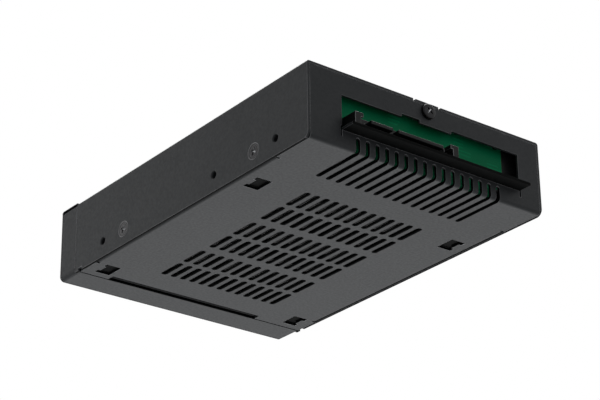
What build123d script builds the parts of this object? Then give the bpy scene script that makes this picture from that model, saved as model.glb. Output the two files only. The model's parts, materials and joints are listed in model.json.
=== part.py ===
from build123d import *
from math import pi
import os

# Hot swap drive cage in the 3.5 inch form. It holds a 2.5 inch drive on a pull-out tray.
# Millimetres. X runs across the width, Y from front (minus) to rear, Z up from the underside.
# The origin is the middle of the underside of the whole outline.

# Case
case_width = 101.6
case_height = 27.5
case_depth = 147.0
sheet = 1.0
seam_gap = 0.1
play = 0.3
fit_gap = 0.05
cover_edge_radius = 1.0
cover_rear_corner_radius = 2.5

# Bottom pan
pan_bend_radius = 1.4
flange_bend_radius = 1.2
flange_height = 12.0
flange_rear_setback = 18.6
flange_front_inset = 23.6
relief_width = 0.9
relief_reach = 1.6
front_seam_inset = 12.4
front_recess_depth = 2.8
front_seam_gap = 0.4
front_recess_right_inset = 13.0
front_recess_left_inset = 22.3
side_notch_length = 2.4
side_notch_height = 1.1

# Vents in the pan
vent_width = 1.6
vent_length = 11.3
vent_pitch = 4.08
vents_across = 13
vent_row_pairs = 3
vent_pair_pitch = 30.0
vent_row_pitch = 14.0
first_vent_setback = 33.3
rear_slot_count = 16
rear_slot_pitch = 4.05
rear_slot_width = 1.6
rear_slot_reach = 21.2
rear_slot_top = 5.3
hook_opening_width = 6.0
hook_opening_length = 8.0
hook_opening_inset = 5.3
rear_hook_setback = 37.5
front_hook_inset = 19.5
hook_width = 4.0
hook_height = 5.0

# Rear window, its shelf and its stepped upper edge
window_right_inset = 14.0
window_left_inset = 10.2
shelf_depth = 5.5
shelf_underside = 6.4
window_top = 19.0
window_step = 1.1
window_step_start = 25.5
window_step_end = 33.3
window_step_left_width = 30.2
shelf_slit_width = 0.6
shelf_slit_drop = 2.2

# Rear tab of the cover and its screw
tab_width = 10.0
tab_drop = 6.0
tab_notch_width = 1.0
tab_notch_reach = 2.6
rear_screw_drop = 3.5
screw_radius = 1.45
pan_head_radius = 2.7
pan_head_height = 1.5
rear_screw_length = 3.0
cross_reach = 1.35
cross_arm = 0.27
cross_depth = 0.7

# Side holes and side screws
side_hole_height = 6.1
side_hole_setbacks = (16.9, 50.8, 118.5)
side_thread_radius = 1.25
side_collar_radius = 2.1
side_collar_length = 0.9
side_hole_chamfer = 0.35
side_screw_setbacks = (28.7, 105.4)
flat_head_radius = 2.8
side_screw_length = 6.0

# Front frame and bezel
band_inset = 10.3
band_bend_radius = 1.8
tongue_length = 9.0
tongue_seat = 3.0
bezel_flange = 0.8
bezel_lip = 1.1
bezel_wall = 1.6
bezel_sill = 1.9
web_thickness = 2.0
bezel_screw_edge = 3.9
bezel_screw_rise = 3.0
bezel_screw_drop = 5.5
small_screw_radius = 1.2
small_head_radius = 2.2

# Backplane
board_setback = 3.5
board_thickness = 1.6
board_right_inset = 4.8
board_left_inset = 14.6
board_bottom = 1.6
board_top_gap = 0.9
board_screw_side_edge = 2.8
board_screw_edge = 2.1
small_head_height = 1.4
small_screw_length = 4.5
foot_reach = 5.7
foot_depth = 5.4

# Connectors
contact_pitch = 1.27
signal_contacts = 7
power_contacts = 15
contact_groups_gap = 3.8
contact_width = 0.8
contact_thickness = 0.15
plug_inset = 23.4
plug_arm_spacing = 40.6
plug_arm_width = 3.4
plug_base_reach = 1.6
plug_reach = 5.0
plug_height = 4.2
plug_tongue_thickness = 1.2
plug_tongue_margin = 1.6
receptacle_offset = 4.8
receptacle_width = 42.0
receptacle_height = 5.8
receptacle_depth = 7.8
receptacle_slot_height = 2.0
receptacle_slot_depth = 5.5
receptacle_rise = 3.6

# Guide rails
rail_width = 9.5
rail_top_gap = 5.5
groove_depth = 2.2
groove_bottom = 8.7
groove_height = 3.1
rail_pocket_inset = 1.4
rail_pocket_floor = 13.5
rail_pocket_length = 13.5
rail_pockets = 8
rail_edge_chamfer = 0.8

# Tray
tray_floor = 4.0
tray_floor_thickness = 1.2
tray_wall = 1.6
tray_top_drop = 4.0
tray_rear_setback = 12.5
runner_front_inset = 14.0
tray_flange = 1.6
drive_rear_setback = 13.5
drive_hole_spacing = 76.6
drive_hole_rear = 14.0
drive_hole_half_width = 30.86
drive_hole_radius = 1.7
tray_vent_count = 9
tray_vent_rows = 4
tray_vent_length = 15.0
tray_vent_width = 3.2
tray_vent_pitch = 6.0
tray_vent_row_pitch = 25.0

# Tray front
front_side_gap = 0.5
front_height_gap = 0.4
front_inset = 10.0
face_inset = 0.6
face_edge_radius = 0.8
recess_wall = 1.8
recess_clearance = 0.4
front_shell = 2.0
tray_screw_right_inset = 16.5
tray_screw_left_inset = 11.7
tray_screw_height = 8.0
boss_radius = 3.0

# Handle
handle_pivot_inset = 4.0
knuckle_radius = 3.0
handle_plate = 4.0
handle_bottom = 5.5
handle_top_drop = 4.6
handle_tip_offset = 6.4
pin_radius = 1.0
handle_edge_radius = 0.8
grille_columns = 9
grille_rows = 2
grille_pitch = 4.6
grille_row_pitch = 5.0
grille_slot_length = 4.0
grille_slot_width = 2.2
grille_offset = 29.0
spring_coil_radius = 2.0
spring_wire_radius = 0.25
spring_pitch = 0.62
spring_turns = 5
spring_room = 4.0
spring_leg = 8.0

# Release button and its spring
button_offset = 15.1
button_width = 8.0
button_ribs = 5
button_top_drop = 5.1
button_bottom = 9.6
button_travel = 2.0
button_flange = 1.5
button_flange_margin = 1.4
button_face_wall = 2.0
lug_thickness = 2.0
lug_depth = 3.0
lug_half_width = 2.2
return_coil_radius = 1.3
return_wire_radius = 0.2
return_turns = 6

# Key lock
lock_inset = 5.0
lock_height = 13.3
barrel_radius = 3.5
barrel_rim_radius = 4.1
barrel_rim = 0.4
barrel_rear_inset = 7.8
cylinder_radius = 2.4
keyway_width = 0.7
keyway_length = 3.2
keyway_depth = 3.0
cam_thickness = 1.0
cam_width = 3.6
cam_reach = 6.4
cam_pocket = 1.2
cam_pocket_rise = 4.2
cam_screw_radius = 0.8
cam_head_radius = 1.5
cam_head_height = 0.7
cam_screw_length = 3.0

# Light pipes
pipe_size = 1.5
pipe_pitch = 1.8
pipe_rear_setback = 6.5
lamp_size = 1.4
lamp_height = 0.8
pipe_ledge_length = 6.0

# Board components
capacitor_radius = 2.5
capacitor_length = 5.0
capacitor_count = 3
capacitor_inset = 12.2
capacitor_pitch = 7.0
capacitor_height = 18.5
chip_size = 7.0
chip_thickness = 1.1
chip_position = 22.0
chip_height = 18.0

# Worked out from the sizes above
half_case = case_width / 2
rear_y = (case_depth - shelf_depth) / 2
half_pan = half_case - sheet - seam_gap
half_inside = half_pan - sheet
inside_top = case_height - sheet
shelf_top = shelf_underside + sheet
bezel_top = case_height + bezel_lip
half_bezel = half_inside - seam_gap
half_opening = half_bezel - bezel_wall
opening_bottom = sheet + seam_gap + bezel_sill
opening_top = inside_top - sheet - seam_gap - bezel_sill
half_front = half_opening - front_side_gap
front_bottom = opening_bottom + front_height_gap
front_top = opening_top - front_height_gap
flange_front_setback = case_depth - flange_front_inset
front_seam_setback = case_depth - front_seam_inset
band_setback = case_depth - band_inset
front_setback = case_depth - front_inset
face_setback = case_depth - face_inset
barrel_rear_setback = case_depth - barrel_rear_inset
runner_front_setback = case_depth - runner_front_inset
frame_front_setback = case_depth - bezel_flange
web_setback = front_setback - front_side_gap
rail_front_setback = web_setback - web_thickness
hook_setbacks = (rear_hook_setback, case_depth - front_hook_inset)
front_recess_right = half_case - front_recess_right_inset
front_recess_left = -(half_case - front_recess_left_inset)
window_right = half_case - window_right_inset
window_left = -(half_case - window_left_inset)
window_step_right = (window_right - window_step_end, window_right - window_step_start)
window_step_left = window_left + window_step_left_width
rear_screw_height = case_height - rear_screw_drop
rail_outer = half_inside - seam_gap
rail_inner = rail_outer - rail_width
rail_height = inside_top - rail_top_gap
web_opening_half_width = rail_inner + groove_depth + play
bezel_screw_x = rail_outer - bezel_screw_edge
bezel_screw_heights = (opening_bottom + bezel_screw_rise, opening_top - bezel_screw_drop)
board_right = half_case - board_right_inset
board_left = -(half_case - board_left_inset)
board_top = inside_top - board_top_gap
board_front_setback = board_setback + board_thickness
board_screw_right = board_right - board_screw_side_edge
board_screw_left = board_left + board_screw_side_edge
board_screw_heights = (board_bottom + board_screw_edge, board_top - board_screw_edge)
foot_inner = -board_left - foot_reach
plug_centre = window_right - plug_inset
receptacle_height_centre = tray_floor + tray_floor_thickness + receptacle_rise
tray_half_width = rail_inner - play
tray_top = opening_top - tray_top_drop
tray_screw_positions = (half_front - tray_screw_right_inset, -(half_front - tray_screw_left_inset))
pivot_x = half_front - handle_pivot_inset
pivot_setback = face_setback - knuckle_radius
handle_top = front_top - handle_top_drop
handle_back_setback = face_setback - handle_plate
recess_floor_setback = handle_back_setback - recess_clearance
hollow_front_setback = recess_floor_setback - recess_wall
lock_x = -(half_front - lock_inset)
button_centre = lock_x + button_offset
button_height = front_top - button_top_drop - button_bottom
handle_tip = button_centre + handle_tip_offset
grille_centre = handle_tip + grille_offset
pipe_positions = (tray_half_width - tray_wall / 2, tray_half_width - tray_wall / 2 - pipe_pitch)
pipe_bottom = tray_top
pipe_middle = pipe_bottom + pipe_size / 2


def block(x_range, setbacks, z_range):
    """A box from its X range, its range of distances forward of the rear wall and its Z range."""
    y_range = (rear_y - setbacks[1], rear_y - setbacks[0])
    sizes = [high - low for low, high in (x_range, y_range, z_range)]
    middle = [(high + low) / 2 for low, high in (x_range, y_range, z_range)]
    return Pos(*middle) * Box(*sizes)


def around(middle, half):
    return (middle - half, middle + half)


def both_sides(half_range):
    """The X range given for the right side, and its mirror for the left."""
    return [half_range, (-half_range[1], -half_range[0])]


def rod_along_x(radius, x_range, setback, height):
    middle = (x_range[0] + x_range[1]) / 2
    length = abs(x_range[1] - x_range[0])
    return Pos(middle, rear_y - setback, height) * Rot(0, 90, 0) * Cylinder(radius, length)


def rod_along_y(radius, x, setbacks, height):
    middle = rear_y - (setbacks[0] + setbacks[1]) / 2
    length = abs(setbacks[1] - setbacks[0])
    return Pos(x, middle, height) * Rot(90, 0, 0) * Cylinder(radius, length)


def rod_along_z(radius, x, setback, z_range):
    middle = (z_range[0] + z_range[1]) / 2
    length = z_range[1] - z_range[0]
    return Pos(x, rear_y - setback, middle) * Cylinder(radius, length)


def cone_along_x(radii, ends, setback, height):
    """A cone with radii[0] at ends[0] and radii[1] at ends[1]."""
    middle = (ends[0] + ends[1]) / 2
    length = abs(ends[0] - ends[1])
    turn = 90 if ends[0] < ends[1] else -90
    return Pos(middle, rear_y - setback, height) * Rot(0, turn, 0) * Cone(radii[0], radii[1], length)


def cone_along_y(radii, x, setbacks, height):
    """A cone with radii[0] at the near setback and radii[1] at the far one."""
    middle = rear_y - (setbacks[0] + setbacks[1]) / 2
    length = abs(setbacks[1] - setbacks[0])
    return Pos(x, middle, height) * Rot(90, 0, 0) * Cone(radii[0], radii[1], length)


def slot_in_floor(x, setbacks, width, z_range):
    """A round-ended slot that runs front to rear, cut along Z."""
    length = setbacks[1] - setbacks[0]
    middle = rear_y - (setbacks[0] + setbacks[1]) / 2
    outline = Pos(x, middle, z_range[0]) * SlotOverall(length, width, rotation=90)
    return extrude(outline, amount=z_range[1] - z_range[0])


def slot_in_wall(x, setbacks, width, z_range):
    """A round-ended slot that runs up a wall, cut along Y."""
    height = z_range[1] - z_range[0]
    middle = (z_range[0] + z_range[1]) / 2
    plane = Plane(origin=(x, rear_y - setbacks[1], middle), x_dir=(1, 0, 0), z_dir=(0, 1, 0))
    outline = plane * SlotOverall(height, width, rotation=90)
    return extrude(outline, amount=setbacks[1] - setbacks[0])


def save(node, shape):
    export_step(shape, f"parts/{node}.step")


def contact_positions(centre):
    """The X places of the contacts of a two-part plug or socket."""
    signal_span = (signal_contacts - 1) * contact_pitch
    power_span = (power_contacts - 1) * contact_pitch
    start = centre + (signal_span + contact_groups_gap + power_span) / 2
    signal = [start - index * contact_pitch for index in range(signal_contacts)]
    power_start = signal[-1] - contact_groups_gap
    power = [power_start - index * contact_pitch for index in range(power_contacts)]
    return signal, power


def pan_corner(x_range):
    """The rear bend of the floor, carried straight out to the side edge."""
    bend = rod_along_x(pan_bend_radius, x_range, pan_bend_radius, pan_bend_radius)
    bend -= rod_along_x(pan_bend_radius - sheet, x_range, pan_bend_radius, pan_bend_radius)
    return bend & block(x_range, (0, pan_bend_radius), (0, pan_bend_radius))


def pan_shell():
    """Floor, rear wall and side flanges, folded from one sheet."""
    outer = block((-half_pan, half_pan), (0, front_seam_setback), (0, inside_top - seam_gap))
    rear_bend = outer.edges().filter_by(Axis.X).group_by(Axis.Z)[0].sort_by(Axis.Y)[-1]
    outer = fillet(rear_bend, pan_bend_radius)
    side_bends = outer.edges().filter_by(Axis.Y).group_by(Axis.Z)[0]
    outer = fillet(side_bends, flange_bend_radius)
    beyond = front_seam_setback + sheet
    inner = block((-half_inside, half_inside), (sheet, beyond), (sheet, case_height))
    rear_fold = inner.edges().filter_by(Axis.X).group_by(Axis.Z)[0].sort_by(Axis.Y)[-1]
    inner = fillet(rear_fold, pan_bend_radius - sheet)
    side_folds = inner.edges().filter_by(Axis.Y).group_by(Axis.Z)[0]
    inner = fillet(side_folds, flange_bend_radius - sheet)
    shell = outer - inner
    edge_ranges = ((pan_bend_radius, flange_rear_setback), (flange_front_setback, front_seam_setback))
    for x_range in both_sides((half_inside - flange_bend_radius, half_pan)):
        shell -= block(x_range, (sheet, front_seam_setback), (flange_height, case_height))
        for near, far in edge_ranges:
            shell -= block(x_range, (near - pan_bend_radius + sheet, far), (sheet, case_height))
            shell += block(x_range, (near, far), (0, sheet))
        shell += pan_corner(x_range)
        shell += block(x_range, (0, sheet), (pan_bend_radius, inside_top - seam_gap))
    return shell


def pan_reliefs(shell):
    for setback in (flange_rear_setback - relief_width, flange_front_setback):
        setbacks = (setback, setback + relief_width)
        for x_range in both_sides((half_pan - relief_reach, half_case)):
            shell -= block(x_range, setbacks, (-sheet, flange_height + sheet))
    recess = (front_seam_setback - front_recess_depth, front_seam_setback + sheet)
    shell -= block((front_recess_left, front_recess_right), recess, (-sheet, 2 * sheet))
    return shell


def pan_vents(shell):
    first_x = vent_pitch * (vents_across - 1) / 2
    cuts = []
    for pair in range(vent_row_pairs):
        for row in range(2):
            near = first_vent_setback + pair * vent_pair_pitch + row * vent_row_pitch
            for column in range(vents_across):
                x = first_x - column * vent_pitch
                cuts.append(slot_in_floor(x, (near, near + vent_length), vent_width, (-sheet, 2 * sheet)))
    first_x = rear_slot_pitch * (rear_slot_count - 1) / 2
    for index in range(rear_slot_count):
        x = first_x - index * rear_slot_pitch
        floor_range = (-rear_slot_width - sheet, rear_slot_reach)
        cuts.append(slot_in_floor(x, floor_range, rear_slot_width, (-sheet, pan_bend_radius)))
        cuts.append(slot_in_wall(x, (-sheet, pan_bend_radius), rear_slot_width, (-sheet, rear_slot_top)))
    return shell - cuts


def pan_window(shell):
    """The rear window: its sheet is folded out as a shelf, and its upper edge is stepped."""
    through = (-sheet, 2 * sheet)
    shell -= block((window_left, window_right), through, (shelf_underside, window_top))
    high_top = window_top + window_step
    shell -= block((window_left, window_step_left), through, (window_top - sheet, high_top))
    shell -= block(window_step_right, through, (window_top - sheet, high_top))
    shelf = block((window_left, window_right), (-shelf_depth, sheet), (shelf_underside, shelf_top))
    fold = shelf.edges().filter_by(Axis.X).group_by(Axis.Z)[-1].sort_by(Axis.Y)[0]
    shell += fillet(fold, sheet - seam_gap)
    slits = ((window_left - shelf_slit_width, window_left), (window_right, window_right + shelf_slit_width))
    for x_range in slits:
        shell -= block(x_range, through, (shelf_underside - shelf_slit_drop, shelf_top + shelf_slit_width))
    return shell


def pan_hooks(shell):
    """Four square openings, each with a hook folded up from its outer edge."""
    opening_outer = half_case - hook_opening_inset
    opening_inner = opening_outer - hook_opening_width
    for setback in hook_setbacks:
        setbacks = (setback - hook_opening_length / 2, setback + hook_opening_length / 2)
        hook_setback = (setback - hook_width / 2, setback + hook_width / 2)
        for x_range in both_sides((opening_inner, opening_outer)):
            shell -= block(x_range, setbacks, (-sheet, 2 * sheet))
        for x_range in both_sides((opening_outer - sheet, opening_outer)):
            shell += block(x_range, hook_setback, (0, sheet + hook_height))
    return shell


def folded_pan():
    shell = pan_reliefs(pan_shell())
    shell = pan_window(shell)
    shell = pan_vents(shell)
    shell = pan_hooks(shell)
    for side in (1, -1):
        flange = (side * (half_inside - sheet), side * half_case)
        for setback in side_screw_setbacks:
            shell -= rod_along_x(screw_radius + play, flange, setback, side_hole_height)
        for setback in side_hole_setbacks:
            shell -= rod_along_x(side_collar_radius + play, flange, setback, side_hole_height)
    shell -= rod_along_y(screw_radius + play, 0, (-sheet, 2 * sheet), rear_screw_height)
    return shell


def rear_wall_room():
    """Takes in the rear wall above the shelf's underside, but not the shelf."""
    room = block((-half_case, half_case), (-sheet, sheet), (shelf_underside, case_height))
    return room - block((window_left, window_right), (-shelf_depth, 2 * sheet), (0, shelf_top))


def bottom_pan():
    return folded_pan() - rear_wall_room()


def rear_wall():
    """The pan's rear wall from the shelf up, which meets the rest of the folded sheet face to face."""
    return folded_pan() & rear_wall_room()


def folded_cover():
    """Top and both sides, folded from one sheet, with a tab folded down inside the rear wall."""
    outer = block((-half_case, half_case), (0, band_setback), (0, case_height))
    outer = fillet(outer.edges().filter_by(Axis.Y).group_by(Axis.Z)[-1], cover_edge_radius)
    rear_edge = outer.edges().filter_by(Axis.X).group_by(Axis.Z)[0].sort_by(Axis.Y)[-1]
    outer = fillet(rear_edge, cover_rear_corner_radius)
    half_inner = half_case - sheet
    cover = outer - block((-half_inner, half_inner), (-sheet, case_depth), (-sheet, inside_top))
    tab_rear = sheet + seam_gap
    notch_x = (tab_width / 2, tab_width / 2 + tab_notch_width)
    for x_range in both_sides(notch_x):
        cover -= block(x_range, (-sheet, tab_notch_reach), (inside_top - sheet, case_height + sheet))
    tab_setbacks = (tab_rear, tab_rear + sheet)
    cover += block(around(0, tab_width / 2), tab_setbacks, (inside_top - tab_drop, inside_top))
    cover -= rod_along_y(screw_radius + fit_gap, 0, (0, tab_rear + 2 * sheet), rear_screw_height)
    notch = (front_seam_setback - side_notch_length, front_seam_setback)
    for side in (1, -1):
        outside = side * (half_case + sheet)
        inside = side * (half_inner - sheet)
        edge = sorted((inside, outside))
        cover -= block(edge, notch, (-sheet, side_notch_height))
        for setback in side_hole_setbacks:
            collar = (side * half_inner, side * (half_inner - side_collar_length))
            cover += rod_along_x(side_collar_radius, collar, setback, side_hole_height)
            cover -= rod_along_x(side_thread_radius, (outside, inside - side), setback, side_hole_height)
            radii = (side_thread_radius + side_hole_chamfer, side_thread_radius)
            mouth = (side * half_case, side * (half_case - side_hole_chamfer))
            cover -= cone_along_x(radii, mouth, setback, side_hole_height)
        for setback in side_screw_setbacks:
            radii = (flat_head_radius + fit_gap, screw_radius + play)
            cover -= cone_along_x(radii, (side * half_case, side * half_inner), setback, side_hole_height)
    return cover


def side_room(side):
    """Takes in one side of the cover, up to the underside of its top."""
    return block(sorted((side * half_inside, side * (half_case + sheet))), (-sheet, case_depth), (-sheet, inside_top))


def top_cover():
    return folded_cover() - side_room(1) - side_room(-1)


def side_panel(side):
    """One side of the cover, which meets its top face to face at the fold."""
    return folded_cover() & side_room(side)


def front_frame():
    """The folded band round the front, with tongues that reach inside the cover."""
    band = (front_seam_setback + front_seam_gap, frame_front_setback)
    outer = block(around(0, half_case), band, (0, case_height))
    outer = fillet(outer.edges().filter_by(Axis.Y), band_bend_radius)
    half_inner = half_case - sheet
    inner = block((-half_inner, half_inner), (0, case_depth), (sheet, inside_top))
    inner = fillet(inner.edges().filter_by(Axis.Y), band_bend_radius - sheet)
    frame = outer - inner
    frame -= block((-half_case, half_case), (0, band_setback + seam_gap), (sheet, case_height))
    for x_range in both_sides((half_pan - seam_gap, half_case)):
        frame -= block(x_range, (0, band_setback + seam_gap), (-sheet, case_height))
    tongue = (band_setback - tongue_length, band_setback + tongue_seat)
    for x_range in both_sides((half_inside, half_inner)):
        frame += block(x_range, tongue, (bezel_screw_heights[0], bezel_screw_heights[1]))
    for x_range in both_sides((half_pan, half_inner)):
        frame -= block(x_range, (0, band_setback + seam_gap), (sheet, case_height))
    top_seat = (band_setback + seam_gap, band_setback + tongue_seat)
    return frame + block(around(0, half_inside), top_seat, (inside_top - sheet, inside_top))


def front_bezel():
    """Moulded frame that lines the band, with a web behind and a lip over the top."""
    bottom = sheet + seam_gap
    top = inside_top - sheet - seam_gap
    bezel = block((-half_bezel, half_bezel), (rail_front_setback, frame_front_setback), (bottom, top))
    face = block((-half_case, half_case), (frame_front_setback, case_depth), (0, bezel_top))
    face = fillet(face.edges().filter_by(Axis.Y), band_bend_radius)
    bezel += face
    lip = (band_setback, frame_front_setback)
    bezel += block(around(0, half_case - band_bend_radius), lip, (case_height, bezel_top))
    for x_range in both_sides((half_case - band_bend_radius, half_case - fit_gap)):
        bezel += block(x_range, lip, (case_height, bezel_top - band_bend_radius / 2))
    opening_z = (opening_bottom, opening_top)
    bezel -= block(around(0, half_opening), (web_setback, case_depth + sheet), opening_z)
    bezel -= block(around(0, web_opening_half_width), (0, case_depth), opening_z)
    cam_setbacks = (barrel_rear_setback - cam_thickness - 2 * play, barrel_rear_setback + play)
    cam_room = (lock_height - cam_width / 2 - play, lock_height + cam_pocket_rise)
    bezel -= block((-half_opening - cam_pocket, -half_opening + sheet), cam_setbacks, cam_room)
    web = (rail_front_setback, web_setback)
    cone = (web_setback - small_head_radius + small_screw_radius, web_setback)
    radii = (small_screw_radius + fit_gap, small_head_radius + fit_gap)
    for side in (1, -1):
        for height in bezel_screw_heights:
            x = side * bezel_screw_x
            bezel -= rod_along_y(small_screw_radius + fit_gap, x, web, height)
            bezel -= cone_along_y(radii, x, cone, height)
    return bezel


def bezel_screws():
    cone = (web_setback - small_head_radius + small_screw_radius, web_setback)
    screws = []
    for side in (1, -1):
        for height in bezel_screw_heights:
            x = side * bezel_screw_x
            head = cone_along_y((small_screw_radius, small_head_radius), x, cone, height)
            shank_ends = (rail_front_setback - small_screw_length, cone[0])
            shank = rod_along_y(small_screw_radius, x, shank_ends, height)
            screws.append(head + shank)
    return screws


def guide_rail(side):
    """Moulded rail with a groove for the tray runner. The left one carries the board on a foot."""
    x_range = sorted((side * rail_inner, side * rail_outer))
    rail = block(x_range, (board_front_setback, rail_front_setback), (sheet, rail_height))
    low_edges = rail.edges().filter_by(Axis.Y).group_by(Axis.Z)[0]
    outer_edge = low_edges.sort_by(Axis.X)[-1 if side > 0 else 0]
    rail = chamfer(outer_edge, rail_edge_chamfer)
    if side < 0:
        rail += block((-rail_outer, -foot_inner), (board_front_setback, board_front_setback + foot_depth),
                      (sheet + play, board_top))
    else:
        rail += block((rail_inner, rail_outer), (board_front_setback, board_front_setback + foot_depth),
                      (sheet, board_top))
    groove = sorted((side * (rail_inner - sheet), side * (rail_inner + groove_depth)))
    groove_start = board_front_setback + foot_depth
    rail -= block(groove, (groove_start, case_depth), (groove_bottom, groove_bottom + groove_height))
    pocket = sorted((side * (rail_inner + rail_pocket_inset), side * (rail_outer - rail_pocket_inset)))
    spacing = (rail_front_setback - groove_start) / rail_pockets
    for index in range(rail_pockets):
        middle = groove_start + (index + 0.5) * spacing
        ends = (middle - rail_pocket_length / 2, middle + rail_pocket_length / 2)
        rail -= block(pocket, ends, (rail_pocket_floor, rail_height + sheet))
    hook_outer = half_case - hook_opening_inset
    hook_room = sorted((side * (hook_outer - sheet - play), side * (hook_outer + play)))
    for setback in hook_setbacks:
        ends = (setback - hook_width / 2 - play, setback + hook_width / 2 + play)
        rail -= block(hook_room, ends, (0, sheet + hook_height + play))
    for setback in side_screw_setbacks:
        hole = (side * (half_case - side_screw_length - play), side * half_case)
        rail -= rod_along_x(screw_radius + fit_gap, hole, setback, side_hole_height)
    for setback in side_hole_setbacks:
        hole = (side * (rail_outer - side_collar_length), side * half_case)
        rail -= rod_along_x(side_collar_radius + play, hole, setback, side_hole_height)
    for height in bezel_screw_heights:
        ends = (rail_front_setback - small_screw_length - play, case_depth)
        rail -= rod_along_y(small_screw_radius + fit_gap, side * bezel_screw_x, ends, height)
    board_screw_x = board_screw_right if side > 0 else board_screw_left
    for height in board_screw_heights:
        ends = (0, board_setback + small_screw_length + play)
        rail -= rod_along_y(small_screw_radius + fit_gap, board_screw_x, ends, height)
    return rail


def backplane_board():
    board = block((board_left, board_right), (board_setback, board_front_setback), (board_bottom, board_top))
    for x in (board_screw_right, board_screw_left):
        for height in board_screw_heights:
            board -= rod_along_y(small_screw_radius + fit_gap, x, (0, case_depth), height)
    return board


def board_screws():
    screws = []
    for x in (board_screw_right, board_screw_left):
        for height in board_screw_heights:
            head_ends = (board_setback - small_head_height, board_setback)
            head = rod_along_y(small_head_radius, x, head_ends, height)
            shank_ends = (board_setback, board_setback + small_screw_length)
            shank = rod_along_y(small_screw_radius, x, shank_ends, height)
            screws.append(head + shank)
    return screws


def drive_receptacle():
    """The socket that the drive plugs into: two slots for the tongue, one for each contact group."""
    x_range = around(receptacle_offset, receptacle_width / 2)
    z_range = around(receptacle_height_centre, receptacle_height / 2)
    front = board_front_setback + receptacle_depth
    body = block(x_range, (board_front_setback, front), z_range)
    slot_z = around(receptacle_height_centre, receptacle_slot_height / 2)
    for places in contact_positions(receptacle_offset):
        slot_x = (places[-1] - contact_pitch, places[0] + contact_pitch)
        body -= block(slot_x, (front - receptacle_slot_depth, front + sheet), slot_z)
    return body


def receptacle_contacts():
    """Strips that lie on the lower face of the receptacle slots."""
    front = board_front_setback + receptacle_depth
    floor = receptacle_height_centre - receptacle_slot_height / 2
    strips = []
    for places in contact_positions(receptacle_offset):
        for x in places:
            x_range = (x - contact_width / 2, x + contact_width / 2)
            setbacks = (front - receptacle_slot_depth, front - contact_pitch)
            strips.append(block(x_range, setbacks, (floor, floor + contact_thickness)))
    return strips


def rear_plug_housing():
    """Base on the board, a flat tongue for the contacts and a guide arm at each end."""
    arm_middle = plug_arm_spacing / 2
    half = arm_middle + plug_arm_width / 2
    bottom = shelf_top + seam_gap
    top = bottom + plug_height
    base = block((plug_centre - half, plug_centre + half), (-plug_base_reach, board_setback), (bottom, top))
    tongue_middle = bottom + plug_height / 2
    tongue_z = (tongue_middle - plug_tongue_thickness / 2, tongue_middle + plug_tongue_thickness / 2)
    housing = base
    for places in contact_positions(plug_centre):
        tongue_x = (places[-1] - plug_tongue_margin / 2, places[0] + plug_tongue_margin / 2)
        housing += block(tongue_x, (-plug_reach, 0), tongue_z)
    for side in (1, -1):
        middle = plug_centre + side * arm_middle
        arm_x = (middle - plug_arm_width / 2, middle + plug_arm_width / 2)
        arm = block(arm_x, (-plug_reach, 0), (bottom, top))
        hollow = (middle - side * plug_arm_width / 2, middle - side * (plug_arm_width / 2 - sheet))
        arm -= block(sorted(hollow), (-plug_reach - sheet, -plug_base_reach), (bottom - sheet, tongue_z[1]))
        housing += arm
    return housing


def rear_plug_contacts():
    """Strips on the upper face of the plug tongues."""
    tongue_top = shelf_top + seam_gap + plug_height / 2 + plug_tongue_thickness / 2
    strips = []
    for places in contact_positions(plug_centre):
        for x in places:
            x_range = (x - contact_width / 2, x + contact_width / 2)
            setbacks = (-plug_reach + sheet / 2, -plug_base_reach)
            strips.append(block(x_range, setbacks, (tongue_top, tongue_top + contact_thickness)))
    return strips


def board_capacitors():
    caps = []
    for index in range(capacitor_count):
        x = board_left + capacitor_inset + index * capacitor_pitch
        ends = (board_front_setback, board_front_setback + capacitor_length)
        caps.append(rod_along_y(capacitor_radius, x, ends, capacitor_height))
    return caps


def board_chip():
    half = chip_size / 2
    x_range = (chip_position - half, chip_position + half)
    z_range = (chip_height - half, chip_height + half)
    return block(x_range, (board_front_setback, board_front_setback + chip_thickness), z_range)


def status_lamps():
    lamps = []
    for x in pipe_positions:
        x_range = (x - lamp_size / 2, x + lamp_size / 2)
        z_range = (pipe_middle - lamp_size / 2, pipe_middle + lamp_size / 2)
        lamps.append(block(x_range, (board_front_setback, board_front_setback + lamp_height), z_range))
    return lamps


def rear_screw():
    head = rod_along_y(pan_head_radius, 0, (-pan_head_height, 0), rear_screw_height)
    head = fillet(head.edges().sort_by(Axis.Y)[-1], pan_head_height / 2)
    screw = head + rod_along_y(screw_radius, 0, (0, rear_screw_length), rear_screw_height)
    recess = (-pan_head_height - sheet, cross_depth - pan_head_height)
    screw -= block(around(0, cross_arm), recess, around(rear_screw_height, cross_reach))
    return screw - block(around(0, cross_reach), recess, around(rear_screw_height, cross_arm))


def side_screws():
    screws = []
    for side in (1, -1):
        for setback in side_screw_setbacks:
            ends = (side * (half_case - fit_gap), side * (half_case - sheet))
            head = cone_along_x((flat_head_radius - fit_gap, screw_radius), ends, setback, side_hole_height)
            shank = (ends[1], side * (half_case - side_screw_length))
            screw = head + rod_along_x(screw_radius, shank, setback, side_hole_height)
            recess_x = sorted((side * (half_case - fit_gap - cross_depth), side * (half_case + sheet)))
            for y_half, z_half in ((cross_arm, cross_reach), (cross_reach, cross_arm)):
                screw -= block(recess_x, around(setback, y_half), around(side_hole_height, z_half))
            screws.append(screw)
    return screws


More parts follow.
